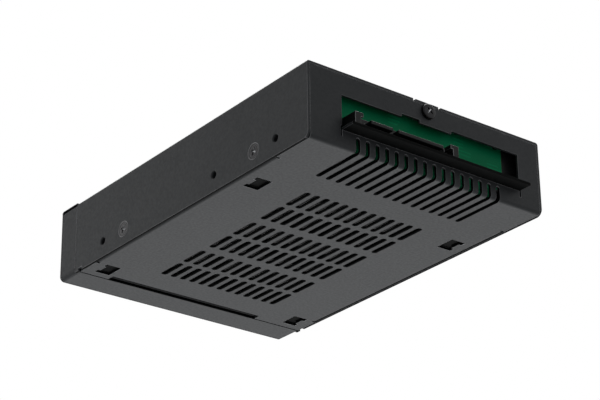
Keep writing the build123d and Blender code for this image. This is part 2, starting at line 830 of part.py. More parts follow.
def tray_base():
    """Floor with air slots, two walls with runners, and a flange that carries the tray front."""
    width = (-tray_half_width, tray_half_width)
    long = (tray_rear_setback, front_setback)
    floor_top = tray_floor + tray_floor_thickness
    base = block(width, long, (tray_floor, floor_top))
    for x_range in both_sides((tray_half_width - tray_wall, tray_half_width)):
        base += block(x_range, long, (tray_floor, tray_top))
    runner_bottom = groove_bottom + play
    runner_top = groove_bottom + groove_height - play
    runner_outer = rail_inner + groove_depth - play
    for x_range in both_sides((tray_half_width, runner_outer)):
        setbacks = (tray_rear_setback + sheet, runner_front_setback)
        base += block(x_range, setbacks, (runner_bottom, runner_top))
    base += block(width, (front_setback - tray_flange, front_setback), (tray_floor, tray_top))
    first_x = tray_vent_pitch * (tray_vent_count - 1) / 2
    first_row = drive_rear_setback + tray_vent_length / 2 + tray_vent_pitch
    cuts = []
    for row in range(tray_vent_rows):
        near = first_row + row * tray_vent_row_pitch
        for column in range(tray_vent_count):
            x = first_x - column * tray_vent_pitch
            ends = (near, near + tray_vent_length)
            cuts.append(slot_in_floor(x, ends, tray_vent_width, (tray_floor - sheet, floor_top + sheet)))
    base -= cuts
    base -= handle_grille((front_setback - tray_flange - sheet, front_setback + sheet))
    for side in (1, -1):
        for offset in (0, drive_hole_spacing):
            setback = drive_rear_setback + drive_hole_rear + offset
            x = side * drive_hole_half_width
            base -= rod_along_z(drive_hole_radius, x, setback, (tray_floor - sheet, floor_top + sheet))
    ends = (front_setback - tray_flange - sheet, front_setback + sheet)
    for x in tray_screw_positions:
        base -= rod_along_y(small_screw_radius + fit_gap, x, ends, tray_screw_height)
    return base


def pipe_ledges(base):
    """Small ledges on the right tray wall, under the inner light pipe."""
    inner = pipe_positions[1] - pipe_size / 2
    for setback in (tray_rear_setback, (tray_rear_setback + front_setback) / 2):
        ends = (setback, setback + pipe_ledge_length)
        base += block((inner, tray_half_width - tray_wall), ends, (tray_top - sheet, tray_top))
    return base


def handle_grille(setbacks):
    """The air slots that line up in the handle, the tray front and the tray flange."""
    middle = (handle_bottom + handle_top) / 2
    first_x = grille_centre + grille_pitch * (grille_columns - 1) / 2
    first_z = middle + grille_row_pitch * (grille_rows - 1) / 2
    cuts = []
    for row in range(grille_rows):
        height = first_z - row * grille_row_pitch
        z_range = (height - grille_slot_length / 2, height + grille_slot_length / 2)
        for column in range(grille_columns):
            x = first_x - column * grille_pitch
            cuts.append(slot_in_wall(x, setbacks, grille_slot_width, z_range))
    return cuts


def tray_front():
    """Moulded tray front with a recess for the handle, a window for the button and a lock hole."""
    front = block((-half_front, half_front), (front_setback, face_setback), (front_bottom, front_top))
    face_edges = front.faces().sort_by(Axis.Y)[0].edges()
    front = fillet(face_edges, face_edge_radius)
    recess_z = (handle_bottom - play, handle_top + play)
    recess_left = handle_tip - play
    front -= block((recess_left, pivot_x), (recess_floor_setback, case_depth), recess_z)
    front -= rod_along_z(knuckle_radius + recess_clearance, pivot_x, pivot_setback, recess_z)
    knuckle_x = (pivot_x - knuckle_radius - recess_clearance, pivot_x + knuckle_radius + recess_clearance)
    front -= block(knuckle_x, (pivot_setback, case_depth), recess_z)
    hollow_z = (front_bottom + front_shell, front_top - front_shell)
    button_side = button_centre + button_width / 2 + button_flange_margin + play
    handle_hollow = (button_side + front_shell, pivot_x - knuckle_radius - 2 * front_shell)
    front -= block(handle_hollow, (front_setback - sheet, hollow_front_setback), hollow_z)
    button_left = button_centre - button_width / 2 - button_flange_margin - play
    button_hollow = (face_setback - button_face_wall, front_setback - sheet)
    front -= block((button_left, button_side), sorted(button_hollow), hollow_z)
    window_z = (button_bottom - button_travel - play, button_bottom + button_height + play)
    window_x = (button_centre - button_width / 2 - play, button_centre + button_width / 2 + play)
    front -= block(window_x, (front_setback, case_depth), window_z)
    cam_x = (lock_x - cam_reach - play, lock_x + cam_width / 2 + play)
    cam_setbacks = (front_setback - sheet, barrel_rear_setback)
    cam_z = (lock_height - cam_width / 2 - play, lock_height + cam_reach + play)
    front -= block(cam_x, cam_setbacks, cam_z)
    front -= rod_along_y(barrel_radius + fit_gap, lock_x, (front_setback - sheet, case_depth), lock_height)
    front -= rod_along_z(pin_radius + fit_gap, pivot_x, pivot_setback, (0, case_height))
    front -= handle_grille((front_setback - sheet, case_depth))
    boss_ends = (front_setback, hollow_front_setback)
    front += rod_along_y(boss_radius, tray_screw_positions[0], boss_ends, tray_screw_height)
    screw_ends = (front_setback - sheet, front_setback + small_screw_length - tray_flange + play)
    for x in tray_screw_positions:
        front -= rod_along_y(small_screw_radius + fit_gap, x, screw_ends, tray_screw_height)
    for x in pipe_positions:
        half = pipe_size / 2 + fit_gap
        front -= block(around(x, half), (front_setback - sheet, case_depth), around(pipe_middle, half))
    front -= torsion_leg_room()
    return front


def tray_front_screws():
    screws = []
    seat = front_setback - tray_flange
    for x in tray_screw_positions:
        head = rod_along_y(small_head_radius, x, (seat - small_head_height, seat), tray_screw_height)
        shank = rod_along_y(small_screw_radius, x, (seat, seat + small_screw_length), tray_screw_height)
        screws.append(head + shank)
    return screws


def light_pipe(x):
    half = pipe_size / 2
    return block(around(x, half), (pipe_rear_setback, face_setback), around(pipe_middle, half))


def handle():
    """Flat lever with a knuckle round its pin, open slots and a gap for the spring."""
    lever = block((handle_tip, pivot_x), (handle_back_setback, face_setback), (handle_bottom, handle_top))
    lever += rod_along_z(knuckle_radius, pivot_x, pivot_setback, (handle_bottom, handle_top))
    tip_edges = lever.faces().sort_by(Axis.X)[0].edges()
    lever = fillet(tip_edges, handle_edge_radius)
    lever -= rod_along_z(pin_radius + fit_gap, pivot_x, pivot_setback, (0, case_height))
    middle = (handle_bottom + handle_top) / 2
    room = (middle - spring_room / 2, middle + spring_room / 2)
    lever -= rod_along_z(knuckle_radius + play, pivot_x, pivot_setback, room)
    lever -= handle_grille((front_setback, case_depth))
    return lever


def handle_pin():
    return rod_along_z(pin_radius, pivot_x, pivot_setback, (front_bottom + play, front_top - play))


def torsion_leg_room():
    """Groove in the recess floor for the leg of the torsion spring."""
    leg_height = (handle_bottom + handle_top) / 2 - spring_turns * spring_pitch / 2
    leg_drop = spring_leg * spring_pitch / (2 * pi * spring_coil_radius)
    leg_setback = pivot_setback - spring_coil_radius
    room = spring_wire_radius + play
    x_range = (pivot_x - spring_leg - play, pivot_x)
    z_range = (leg_height - leg_drop - room, leg_height + room)
    return block(x_range, (leg_setback - room, recess_floor_setback + sheet), z_range)


def handle_spring():
    """Torsion spring round the handle pin, with one leg in a groove of the tray front."""
    middle = (handle_bottom + handle_top) / 2
    coil_height = spring_turns * spring_pitch
    helix = Helix(spring_pitch, coil_height, spring_coil_radius, lefthand=True)
    helix = Pos(pivot_x, rear_y - pivot_setback, middle - coil_height / 2) * Rot(0, 0, 90) * helix
    wire = Plane(helix @ 0, z_dir=helix % 0) * Circle(spring_wire_radius)
    return sweep(wire, path=helix) + extrude(wire, amount=-spring_leg)


def release_button():
    """Push-down button: a ribbed pad, a flange behind the face and a lug over the spring."""
    half = button_width / 2
    x_range = (button_centre - half, button_centre + half)
    z_range = (button_bottom, button_bottom + button_height)
    face_back = face_setback - button_face_wall
    flange_front = face_back - play
    flange_back = flange_front - button_flange
    button = block(x_range, (flange_back, face_setback), z_range)
    margin = button_flange_margin
    flange_z = (z_range[0] - margin, z_range[1] + margin)
    button += block((x_range[0] - margin, x_range[1] + margin), (flange_back, flange_front), flange_z)
    rib_pitch = button_height / (button_ribs + 1)
    for index in range(button_ribs):
        height = z_range[0] + (index + 1) * rib_pitch
        button -= block(x_range, (face_setback - play, face_setback + sheet), around(height, play))
    lug_z = (z_range[0], z_range[0] + lug_thickness)
    lug_x = (button_centre - lug_half_width, button_centre + lug_half_width)
    button += block(lug_x, (flange_back - lug_depth, flange_back), lug_z)
    return button


def release_spring():
    """Return spring between the floor of the tray front and the lug of the button."""
    flange_back = face_setback - button_face_wall - play - button_flange
    setback = flange_back - lug_depth / 2
    floor = front_bottom + front_shell + return_wire_radius + fit_gap / 2
    height = button_bottom - return_wire_radius - fit_gap / 2 - floor
    helix = Helix(height / return_turns, height, return_coil_radius)
    helix = Pos(button_centre, rear_y - setback, floor) * helix
    return sweep(Plane(helix @ 0, z_dir=helix % 0) * Circle(return_wire_radius), path=helix)


def lock_barrel():
    barrel = rod_along_y(barrel_radius, lock_x, (barrel_rear_setback, face_setback), lock_height)
    barrel += rod_along_y(barrel_rim_radius, lock_x, (face_setback, face_setback + barrel_rim), lock_height)
    return barrel - rod_along_y(cylinder_radius + fit_gap, lock_x, (0, case_depth + sheet), lock_height)


def lock_cylinder():
    rear = barrel_rear_setback
    cylinder = rod_along_y(cylinder_radius, lock_x, (rear, face_setback + barrel_rim / 2), lock_height)
    keyway_x = (lock_x - keyway_width / 2, lock_x + keyway_width / 2)
    keyway_z = (lock_height - keyway_length / 2, lock_height + keyway_length / 2)
    cylinder -= block(keyway_x, (face_setback - keyway_depth, case_depth), keyway_z)
    hole = (rear - sheet, rear + cam_screw_length + play)
    return cylinder - rod_along_y(cam_screw_radius + fit_gap, lock_x, hole, lock_height)


def lock_cam():
    """Flat cam that stands upright when unlocked and turns into the bezel pocket when locked."""
    ends = (barrel_rear_setback - cam_thickness, barrel_rear_setback)
    cam = rod_along_y(cam_width / 2, lock_x, ends, lock_height)
    x_range = (lock_x - cam_width / 2, lock_x + cam_width / 2)
    cam += block(x_range, ends, (lock_height, lock_height + cam_reach))
    return cam - rod_along_y(cam_screw_radius + fit_gap, lock_x, (0, case_depth), lock_height)


def lock_cam_screw():
    seat = barrel_rear_setback - cam_thickness
    head = rod_along_y(cam_head_radius, lock_x, (seat - cam_head_height, seat), lock_height)
    shank_ends = (seat, seat + cam_thickness + cam_screw_length)
    shank = rod_along_y(cam_screw_radius, lock_x, shank_ends, lock_height)
    return head + shank


os.makedirs("parts", exist_ok=True)
save("bottom_pan", bottom_pan())
save("rear_wall", rear_wall())
save("top_cover", top_cover())
save("side_panel_right", side_panel(1))
save("side_panel_left", side_panel(-1))
save("front_frame", front_frame())
save("front_bezel", front_bezel())
save("bezel_screws", Compound(bezel_screws()))
save("guide_rail_right", guide_rail(1))
save("guide_rail_left", guide_rail(-1))
save("backplane_board", backplane_board())
save("board_screws", Compound(board_screws()))
save("board_capacitors", Compound(board_capacitors()))
save("board_chip", board_chip())
save("status_lamps", Compound(status_lamps()))
save("drive_receptacle", drive_receptacle())
save("receptacle_contacts", Compound(receptacle_contacts()))
save("rear_plug_housing", rear_plug_housing())
save("rear_plug_contacts", Compound(rear_plug_contacts()))
save("rear_screw", rear_screw())
save("side_screws", Compound(side_screws()))
save("tray_base", pipe_ledges(tray_base()))
save("tray_front", tray_front())
save("tray_front_screws", Compound(tray_front_screws()))
save("power_light_pipe", light_pipe(pipe_positions[0]))
save("activity_light_pipe", light_pipe(pipe_positions[1]))
save("handle", handle())
save("handle_pin", handle_pin())
save("handle_spring", handle_spring())
save("release_button", release_button())
save("release_spring", release_spring())
save("lock_barrel", lock_barrel())
save("lock_cylinder", lock_cylinder())
save("lock_cam", lock_cam())
save("lock_cam_screw", lock_cam_screw())
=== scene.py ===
import json
from math import pi, radians, tau

import bmesh
import bpy
import numpy as np
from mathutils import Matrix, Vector


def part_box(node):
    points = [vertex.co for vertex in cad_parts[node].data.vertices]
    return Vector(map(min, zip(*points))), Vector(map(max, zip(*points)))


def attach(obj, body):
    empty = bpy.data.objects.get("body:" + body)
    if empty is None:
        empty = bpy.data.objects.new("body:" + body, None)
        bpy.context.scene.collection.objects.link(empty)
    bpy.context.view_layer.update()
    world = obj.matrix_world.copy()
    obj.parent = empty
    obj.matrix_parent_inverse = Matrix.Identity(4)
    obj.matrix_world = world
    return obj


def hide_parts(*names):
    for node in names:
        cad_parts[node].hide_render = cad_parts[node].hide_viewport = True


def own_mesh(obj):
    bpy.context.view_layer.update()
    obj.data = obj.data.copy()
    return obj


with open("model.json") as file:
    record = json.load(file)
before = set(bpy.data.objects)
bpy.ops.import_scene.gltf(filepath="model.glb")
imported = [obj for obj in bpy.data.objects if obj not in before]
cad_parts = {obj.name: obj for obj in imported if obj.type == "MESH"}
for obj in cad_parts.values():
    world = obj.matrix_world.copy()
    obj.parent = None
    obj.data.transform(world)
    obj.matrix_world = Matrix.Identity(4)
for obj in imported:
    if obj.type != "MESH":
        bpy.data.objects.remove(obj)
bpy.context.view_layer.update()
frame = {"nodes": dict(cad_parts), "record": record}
print("frame loaded:", len(frame["nodes"]), "nodes")

# A hot swap drive cage: folded steel under black powder coat, a green backplane behind the rear
# window, and a moulded tray with its lever, push button and key lock at the front.
# Lengths in the dictionaries are millimetres, as on the drawing; mesh functions turn them to metres.
# A setback is the distance from the case's rear face towards the front.
mm = 0.001
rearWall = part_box("side_panel_right")[1].y / mm
bodyOfNode = {node: body for body, nodes in frame["record"]["behaviour"]["bodies"].items() for node in nodes}
toRear, toFront, toRight, upward = (0, 1, 0), (0, -1, 0), (1, 0, 0), (0, 0, 1)


def at(x, setback, z):  # a place on the drawing
    return np.array((x, rearWall - setback, z), float)


def linearColour(hexText, alpha=1.0):  # an sRGB hex colour as linear light
    srgb = np.array([int(hexText[start:start + 2], 16) for start in (1, 3, 5)]) / 255
    linear = np.where(srgb <= 0.04045, srgb / 12.92, ((srgb + 0.055) / 1.055) ** 2.4)
    return (*linear.tolist(), alpha)


def addNode(tree, kind, settings=(), links=()):  # a node with its properties, socket values and links
    node = tree.nodes.new(kind)
    for key, value in dict(settings).items():
        if isinstance(key, str) and hasattr(node, key):
            setattr(node, key, value)
        else:
            node.inputs[key].default_value = value
    for key, (source, output) in dict(links).items():
        tree.links.new(source.outputs[output], node.inputs[key])
    return node


def newMaterial(name, settings):  # the shader with its plain socket values, and a link to object coordinates
    material = bpy.data.materials.new(name)
    material.use_nodes = True
    tree = material.node_tree
    tree.nodes.clear()
    shader = addNode(tree, "ShaderNodeBsdfPrincipled", settings)
    addNode(tree, "ShaderNodeOutputMaterial", links={"Surface": (shader, "BSDF")})
    coords = addNode(tree, "ShaderNodeTexCoord")
    return material, tree, shader, {"Vector": (coords, "Object")}


toneSpan = 0.44  # span of the noise over which one tone turns into the other
grainSpan = (0.3, 0.7)  # span of the noise that the roughness follows


def grainedFinish(name, look):
    # Colour drifts between two tones over patches, roughness rises where the fine grain is low,
    # and the same grain lifts the surface by the relief.
    material, tree, shader, onObject = newMaterial(name, look["shader"])
    patches = addNode(tree, "ShaderNodeTexNoise", {"Scale": 1 / (look["patch"] * mm), "Detail": 3.0},
                      onObject)
    grain = addNode(tree, "ShaderNodeTexNoise", {"Scale": 1 / (look["grain"] * mm), "Detail": 2.0}, onObject)
    both = addNode(tree, "ShaderNodeMath", {"operation": "MULTIPLY_ADD", 1: look["speckle"]},
                   {0: (grain, "Fac"), 2: (patches, "Fac")})
    middle = 0.5 + 0.5 * look["speckle"]
    share = addNode(tree, "ShaderNodeMapRange", {"From Min": middle - toneSpan / 2,
                                                 "From Max": middle + toneSpan / 2},
                    {"Value": (both, "Value")})
    tone = addNode(tree, "ShaderNodeMix", {"data_type": "RGBA", 6: linearColour(look["deep"]),
                                           7: linearColour(look["light"])}, {0: (share, "Result")})
    rough = addNode(tree, "ShaderNodeMapRange", {"From Min": grainSpan[0], "From Max": grainSpan[1],
                                                 "To Min": look["rough"][1], "To Max": look["rough"][0]},
                    {"Value": (grain, "Fac")})
    bump = addNode(tree, "ShaderNodeBump", {"Strength": look["bump"], "Distance": look["relief"] * mm},
                   {"Height": (grain, "Fac")})
    tree.links.new(tone.outputs[2], shader.inputs["Base Color"])
    tree.links.new(rough.outputs["Result"], shader.inputs["Roughness"])
    tree.links.new(bump.outputs["Normal"], shader.inputs["Normal"])
    return material


finishes = {
    # baked powder on folded steel: deep satin grey-black with a faint orange peel, drawn coarser to show
    "powder": ("PowderCoatedSteel", {
        "shader": {"IOR": 1.5, "Specular IOR Level": 0.15}, "deep": "#26282a", "light": "#2a2c2e",
        "patch": 24.0, "grain": 0.9, "speckle": 0.25, "rough": (0.48, 0.6), "bump": 0.2, "relief": 0.025}),
    # powder draws back from sheared edges, so they look thinner, paler and glossier
    # painted highlight on sheared edges: painted paler and glossier so the rims read as thin light lines;
    # the powder is thinner there as well
    "edge": ("ThinPowderAndPaintedHighlightEdges", {
        "shader": {"IOR": 1.5, "Specular IOR Level": 0.5}, "deep": "#3c3e41", "light": "#626467",
        "patch": 6.0, "grain": 0.6, "speckle": 0.6, "rough": (0.34, 0.5), "bump": 0.2, "relief": 0.02}),
    # painted shade: matt near-black paint where shade falls in slots, seams and hook openings, along the
    # side panels' lower edges and on the rail feet; under the shelf it also stands for a darker surface
    "phosphate": ("NearBlackAndPaintedShade", {
        "shader": {"IOR": 1.5, "Specular IOR Level": 0.03}, "deep": "#050606", "light": "#090a0a",
        "patch": 12.0, "grain": 0.7, "speckle": 0.3, "rough": (0.65, 0.75), "bump": 0.1, "relief": 0.01}),
    # glass-filled ABS from a spark-eroded mould: matt black with a fine grain
    "black": ("SparkGrainedBlackPlastic", {
        "shader": {"IOR": 1.53, "Specular IOR Level": 0.25}, "deep": "#111213", "light": "#171819",
        "patch": 16.0, "grain": 0.45, "speckle": 0.5, "rough": (0.5, 0.62), "bump": 0.35, "relief": 0.04}),
    # polished-mould polycarbonate blend: charcoal with a soft sheen
    "charcoal": ("SatinCharcoalPlastic", {
        "shader": {"IOR": 1.56, "Specular IOR Level": 0.4}, "deep": "#26282b", "light": "#2d2f32",
        "patch": 20.0, "grain": 0.6, "speckle": 0.35, "rough": (0.4, 0.5), "bump": 0.2, "relief": 0.03}),
    # liquid crystal polymer of connectors: smooth black with faint flow streaks
    "connector": ("MouldedConnectorPolymer", {
        "shader": {"IOR": 1.6, "Specular IOR Level": 0.08}, "deep": "#090a0a", "light": "#0e0f10",
        "patch": 5.0, "grain": 0.8, "speckle": 0.4, "rough": (0.3, 0.42), "bump": 0.1, "relief": 0.02}),
    # painted highlight on the connectors' rounded edges: thin, pale and shiny
    "connectorEdgeHighlight": ("ConnectorEdgePaintedHighlight", {
        "shader": {"IOR": 1.6, "Specular IOR Level": 0.6}, "deep": "#2c2e30", "light": "#4c4f52",
        "patch": 2.0, "grain": 0.4, "speckle": 0.5, "rough": (0.16, 0.28), "bump": 0.05, "relief": 0.01}),
    # black zinc on a rolled screw: dark metal with a slightly brown cast
    "screw": ("BlackZincPlatedSteel", {
        "shader": {"Metallic": 0.8}, "deep": "#101011", "light": "#1e1e20",
        "patch": 2.5, "grain": 0.25, "speckle": 0.8, "rough": (0.28, 0.42), "bump": 0.15, "relief": 0.01}),
    # plating rubbed off by the driver: bare bright steel at the bottom of the cross
    "rubbed": ("SteelRubbedByDriver", {
        "shader": {"Metallic": 1.0}, "deep": "#5c5d5f", "light": "#909193",
        "patch": 0.8, "grain": 0.2, "speckle": 0.8, "rough": (0.22, 0.4), "bump": 0.2, "relief": 0.01}),
    # nickel on drawn wire and turned pins: bright, slightly warm
    "nickel": ("NickelPlatedSteel", {
        "shader": {"Metallic": 1.0}, "deep": "#a09e99", "light": "#bab8b3",
        "patch": 4.0, "grain": 0.2, "speckle": 0.5, "rough": (0.2, 0.32), "bump": 0.1, "relief": 0.01}),
    # polished chrome over a zinc casting: mirror bright with fine handling marks
    "chrome": ("ChromedZincCasting", {
        "shader": {"Metallic": 1.0}, "deep": "#a9abad", "light": "#babcbe",
        "patch": 5.0, "grain": 0.4, "speckle": 0.4, "rough": (0.1, 0.2), "bump": 0.08, "relief": 0.01}),
    # flash gold over nickel on stamped strip: warm, softly brushed
    "gold": ("GoldPlatedStrip", {
        "shader": {"Metallic": 1.0}, "deep": "#c0933f", "light": "#d6ab55",
        "patch": 3.0, "grain": 0.2, "speckle": 0.5, "rough": (0.2, 0.3), "bump": 0.1, "relief": 0.01}),
    # drawn can of an electrolytic capacitor: pale, finely scored
    "can": ("DrawnAluminiumCan", {
        "shader": {"Metallic": 1.0}, "deep": "#a6a8ab", "light": "#bcbec0",
        "patch": 3.0, "grain": 0.15, "speckle": 0.5, "rough": (0.25, 0.38), "bump": 0.15, "relief": 0.01}),
    # diffused epoxy of a surface lamp, unlit: milky with a hint of green
    "resin": ("MilkyLampResin", {
        "shader": {"IOR": 1.54, "Subsurface Weight": 0.2, "Subsurface Scale": 0.0004}, "deep": "#c4cdc2",
        "light": "#d6ddd3", "patch": 0.8, "grain": 0.2, "speckle": 0.3, "rough": (0.2, 0.3), "bump": 0.1,
        "relief": 0.01}),
    # cut end of glass-fibre laminate: dull yellow-green with visible strands
    "laminate": ("SawnGlassFibreEdge", {
        "shader": {"IOR": 1.5, "Specular IOR Level": 0.3}, "deep": "#4c5633", "light": "#6f7748",
        "patch": 1.5, "grain": 0.25, "speckle": 0.9, "rough": (0.6, 0.75), "bump": 0.4, "relief": 0.03}),
    # tin on component leads: soft silver
    "solder": ("TinnedLeads", {
        "shader": {"Metallic": 1.0}, "deep": "#9a9b9d", "light": "#b9babb",
        "patch": 1.0, "grain": 0.2, "speckle": 0.6, "rough": (0.24, 0.4), "bump": 0.2, "relief": 0.02}),
}

acrylic = {"tint": "#c9d3d3", "clear": 0.85, "lines": (900.0, 20.0, 900.0), "rough": (0.12, 0.2)}


def acrylicRod(look):  # drawn clear acrylic: glassy sides, slightly frosted by draw lines along the rod
    material, tree, shader, onObject = newMaterial("ClearAcrylicRod", {
        "Base Color": linearColour(look["tint"]), "IOR": 1.49, "Transmission Weight": look["clear"]})
    stretch = addNode(tree, "ShaderNodeMapping", {"Scale": look["lines"]}, onObject)
    lines = addNode(tree, "ShaderNodeTexNoise", {"Scale": 1.0, "Detail": 1.0},
                    {"Vector": (stretch, "Vector")})
    rough = addNode(tree, "ShaderNodeMapRange", {"To Min": look["rough"][0], "To Max": look["rough"][1]},
                    {"Value": (lines, "Fac")})
    tree.links.new(rough.outputs["Result"], shader.inputs["Roughness"])
    return material


boardFinish = {
    "mask": "#026c46", "maskLight": "#047a50", "patch": 14.0, "rough": (0.4, 0.5),
    "track": "#068457", "trackPitch": 1.3, "trackShare": 0.3, "trackEdge": (0.55, 0.65), "block": 9.0,
    "via": "#8c8d7a", "viaPitch": 2.54, "viaRadius": 0.3, "viaSpread": 0.15, "viaShare": 0.14,
    "bump": 0.4, "copper": 0.035,
}


def solderMaskedBoard(look):
    # Glass fibre board under green solder mask. Copper tracks lie in blocks and show as slightly
    # paler lines, with plated vias near the drill grid in a few of the cells. A wave of bands repeats
    # at pi / 10 over its scale.
    material, tree, shader, onObject = newMaterial("GreenSolderMask", {
        "IOR": 1.5, "Specular IOR Level": 0.05})
    patches = addNode(tree, "ShaderNodeTexNoise", {"Scale": 1 / (look["patch"] * mm), "Detail": 3.0},
                      onObject)
    mask = addNode(tree, "ShaderNodeMix", {"data_type": "RGBA", 6: linearColour(look["mask"]),
                                           7: linearColour(look["maskLight"])}, {0: (patches, "Fac")})
    bands = addNode(tree, "ShaderNodeTexWave", {
        "wave_type": "BANDS", "bands_direction": "Z", "Distortion": 0.0,
        "Scale": pi / 10 / (look["trackPitch"] * mm)}, onObject)
    blocks = addNode(tree, "ShaderNodeTexVoronoi", {
        "distance": "CHEBYCHEV", "Scale": 1 / (look["block"] * mm)}, onObject)
    chosen = addNode(tree, "ShaderNodeSeparateColor", links={"Color": (blocks, "Color")})
    here = addNode(tree, "ShaderNodeMath", {"operation": "LESS_THAN", 1: look["trackShare"]},
                   {0: (chosen, "Red")})
    line = addNode(tree, "ShaderNodeMapRange", {"From Min": look["trackEdge"][0],
                                                "From Max": look["trackEdge"][1]}, {"Value": (bands, "Fac")})
    track = addNode(tree, "ShaderNodeMath", {"operation": "MULTIPLY"},
                    {0: (line, "Result"), 1: (here, "Value")})
    tone = addNode(tree, "ShaderNodeMix", {"data_type": "RGBA", 7: linearColour(look["track"])},
                   {0: (track, "Value"), 6: (mask, 2)})
    dots = addNode(tree, "ShaderNodeTexVoronoi", {"Scale": 1 / (look["viaPitch"] * mm),
                                                  "Randomness": look["viaSpread"]}, onObject)
    drilled = addNode(tree, "ShaderNodeMath", {"operation": "LESS_THAN",
                                               1: look["viaRadius"] / look["viaPitch"]},
                      {0: (dots, "Distance")})
    allowed = addNode(tree, "ShaderNodeSeparateColor", links={"Color": (dots, "Color")})
    few = addNode(tree, "ShaderNodeMath", {"operation": "GREATER_THAN", 1: 1 - look["viaShare"]},
                  {0: (allowed, "Green")})
    via = addNode(tree, "ShaderNodeMath", {"operation": "MULTIPLY"},
                  {0: (drilled, "Value"), 1: (few, "Value")})
    final = addNode(tree, "ShaderNodeMix", {"data_type": "RGBA", 7: linearColour(look["via"])},
                    {0: (via, "Value"), 6: (tone, 2)})
    relief = addNode(tree, "ShaderNodeMath", {"operation": "ADD"}, {0: (track, "Value"), 1: (via, "Value")})
    bump = addNode(tree, "ShaderNodeBump", {"Strength": look["bump"], "Distance": look["copper"] * mm},
                   {"Height": (relief, "Value")})
    rough = addNode(tree, "ShaderNodeMapRange", {"To Min": look["rough"][0], "To Max": look["rough"][1]},
                    {"Value": (patches, "Fac")})
    tree.links.new(final.outputs[2], shader.inputs["Base Color"])
    tree.links.new(rough.outputs["Result"], shader.inputs["Roughness"])
    tree.links.new(bump.outputs["Normal"], shader.inputs["Normal"])
    return material


finish = {key: grainedFinish(name, look) for key, (name, look) in finishes.items()}
finish["acrylic"] = acrylicRod(acrylic)
finish["board"] = solderMaskedBoard(boardFinish)
print("materials made:", len(finish))


def standFor(piece, nodes):  # rides on the nodes' body and stands for them, which are hidden
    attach(piece, bodyOfNode[nodes[0]])
    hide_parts(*nodes)
    return piece


def shadeByAngle(mesh, angle):  # smooth over gentle bends, sharp over the rest
    mesh.polygons.foreach_set("use_smooth", np.ones(len(mesh.polygons), bool))
    mesh.set_sharp_from_angle(angle=angle)
    mesh.update()


def newObject(name, mesh, keys):
    for key in keys:
        mesh.materials.append(finish[key])
    piece = bpy.data.objects.new(name, mesh)
    bpy.context.scene.collection.objects.link(piece)
    return piece


samePlace = 0.002 * mm  # points nearer than this are one
sameFlat = radians(0.4)  # faces that turn less than this are one
sharpEdge = radians(35)  # edges that turn more than this are rounded over
smoothBend = radians(40)  # and edges of new pieces that turn less look smooth


def mergeFlats(mesh):  # points that share a place are welded, and triangles of one flat become one face
    shape = bmesh.new()
    shape.from_mesh(mesh)
    bmesh.ops.remove_doubles(shape, verts=shape.verts, dist=samePlace)
    bmesh.ops.dissolve_limit(shape, angle_limit=sameFlat, verts=shape.verts, edges=shape.edges)
    shape.to_mesh(mesh)
    shape.free()
    return mesh


def unitedMesh(nodes):
    # One skin round all the nodes: an exact union leaves no wall where two of them meet.
    holders = [bpy.data.objects.new("uniting_" + node, mergeFlats(frame["nodes"][node].data.copy()))
               for node in nodes]
    for holder in holders:
        bpy.context.scene.collection.objects.link(holder)
    for holder in holders[1:]:
        union = holders[0].modifiers.new(holder.name, "BOOLEAN")
        union.operation, union.solver, union.object = "UNION", "EXACT", holder
    graph = bpy.context.evaluated_depsgraph_get()
    mesh = bpy.data.meshes.new_from_object(holders[0].evaluated_get(graph))
    for holder in holders:
        bpy.data.objects.remove(holder)
    return mergeFlats(mesh)


def paintFaces(mesh, keys, rules):
    # A face takes a rule's finish where its middle lies in the rule's box and its normal suits: any,
    # facing down, anything but level, or facing sideways along X.
    middles, normals = (np.empty(len(mesh.polygons) * 3) for _ in range(2))
    mesh.polygons.foreach_get("center", middles)
    mesh.polygons.foreach_get("normal", normals)
    middles, normals = middles.reshape(-1, 3) / mm, normals.reshape(-1, 3)
    across, tilt = normals[:, 0], normals[:, 2]
    suits = {"any": np.isfinite(tilt), "down": tilt < -0.5, "walls": np.abs(tilt) < 0.99,
             "sides": np.abs(across) > 0.8}
    slots = np.empty(len(mesh.polygons), dtype=np.int32)
    mesh.polygons.foreach_get("material_index", slots)
    for key, side, low, high in rules:
        slots[(middles > low).all(1) & (middles < high).all(1) & suits[side]] = keys.index(key)
    mesh.polygons.foreach_set("material_index", slots)


def within(place, low, high):
    return all(least < value < most for least, value, most in zip(low, place, high))


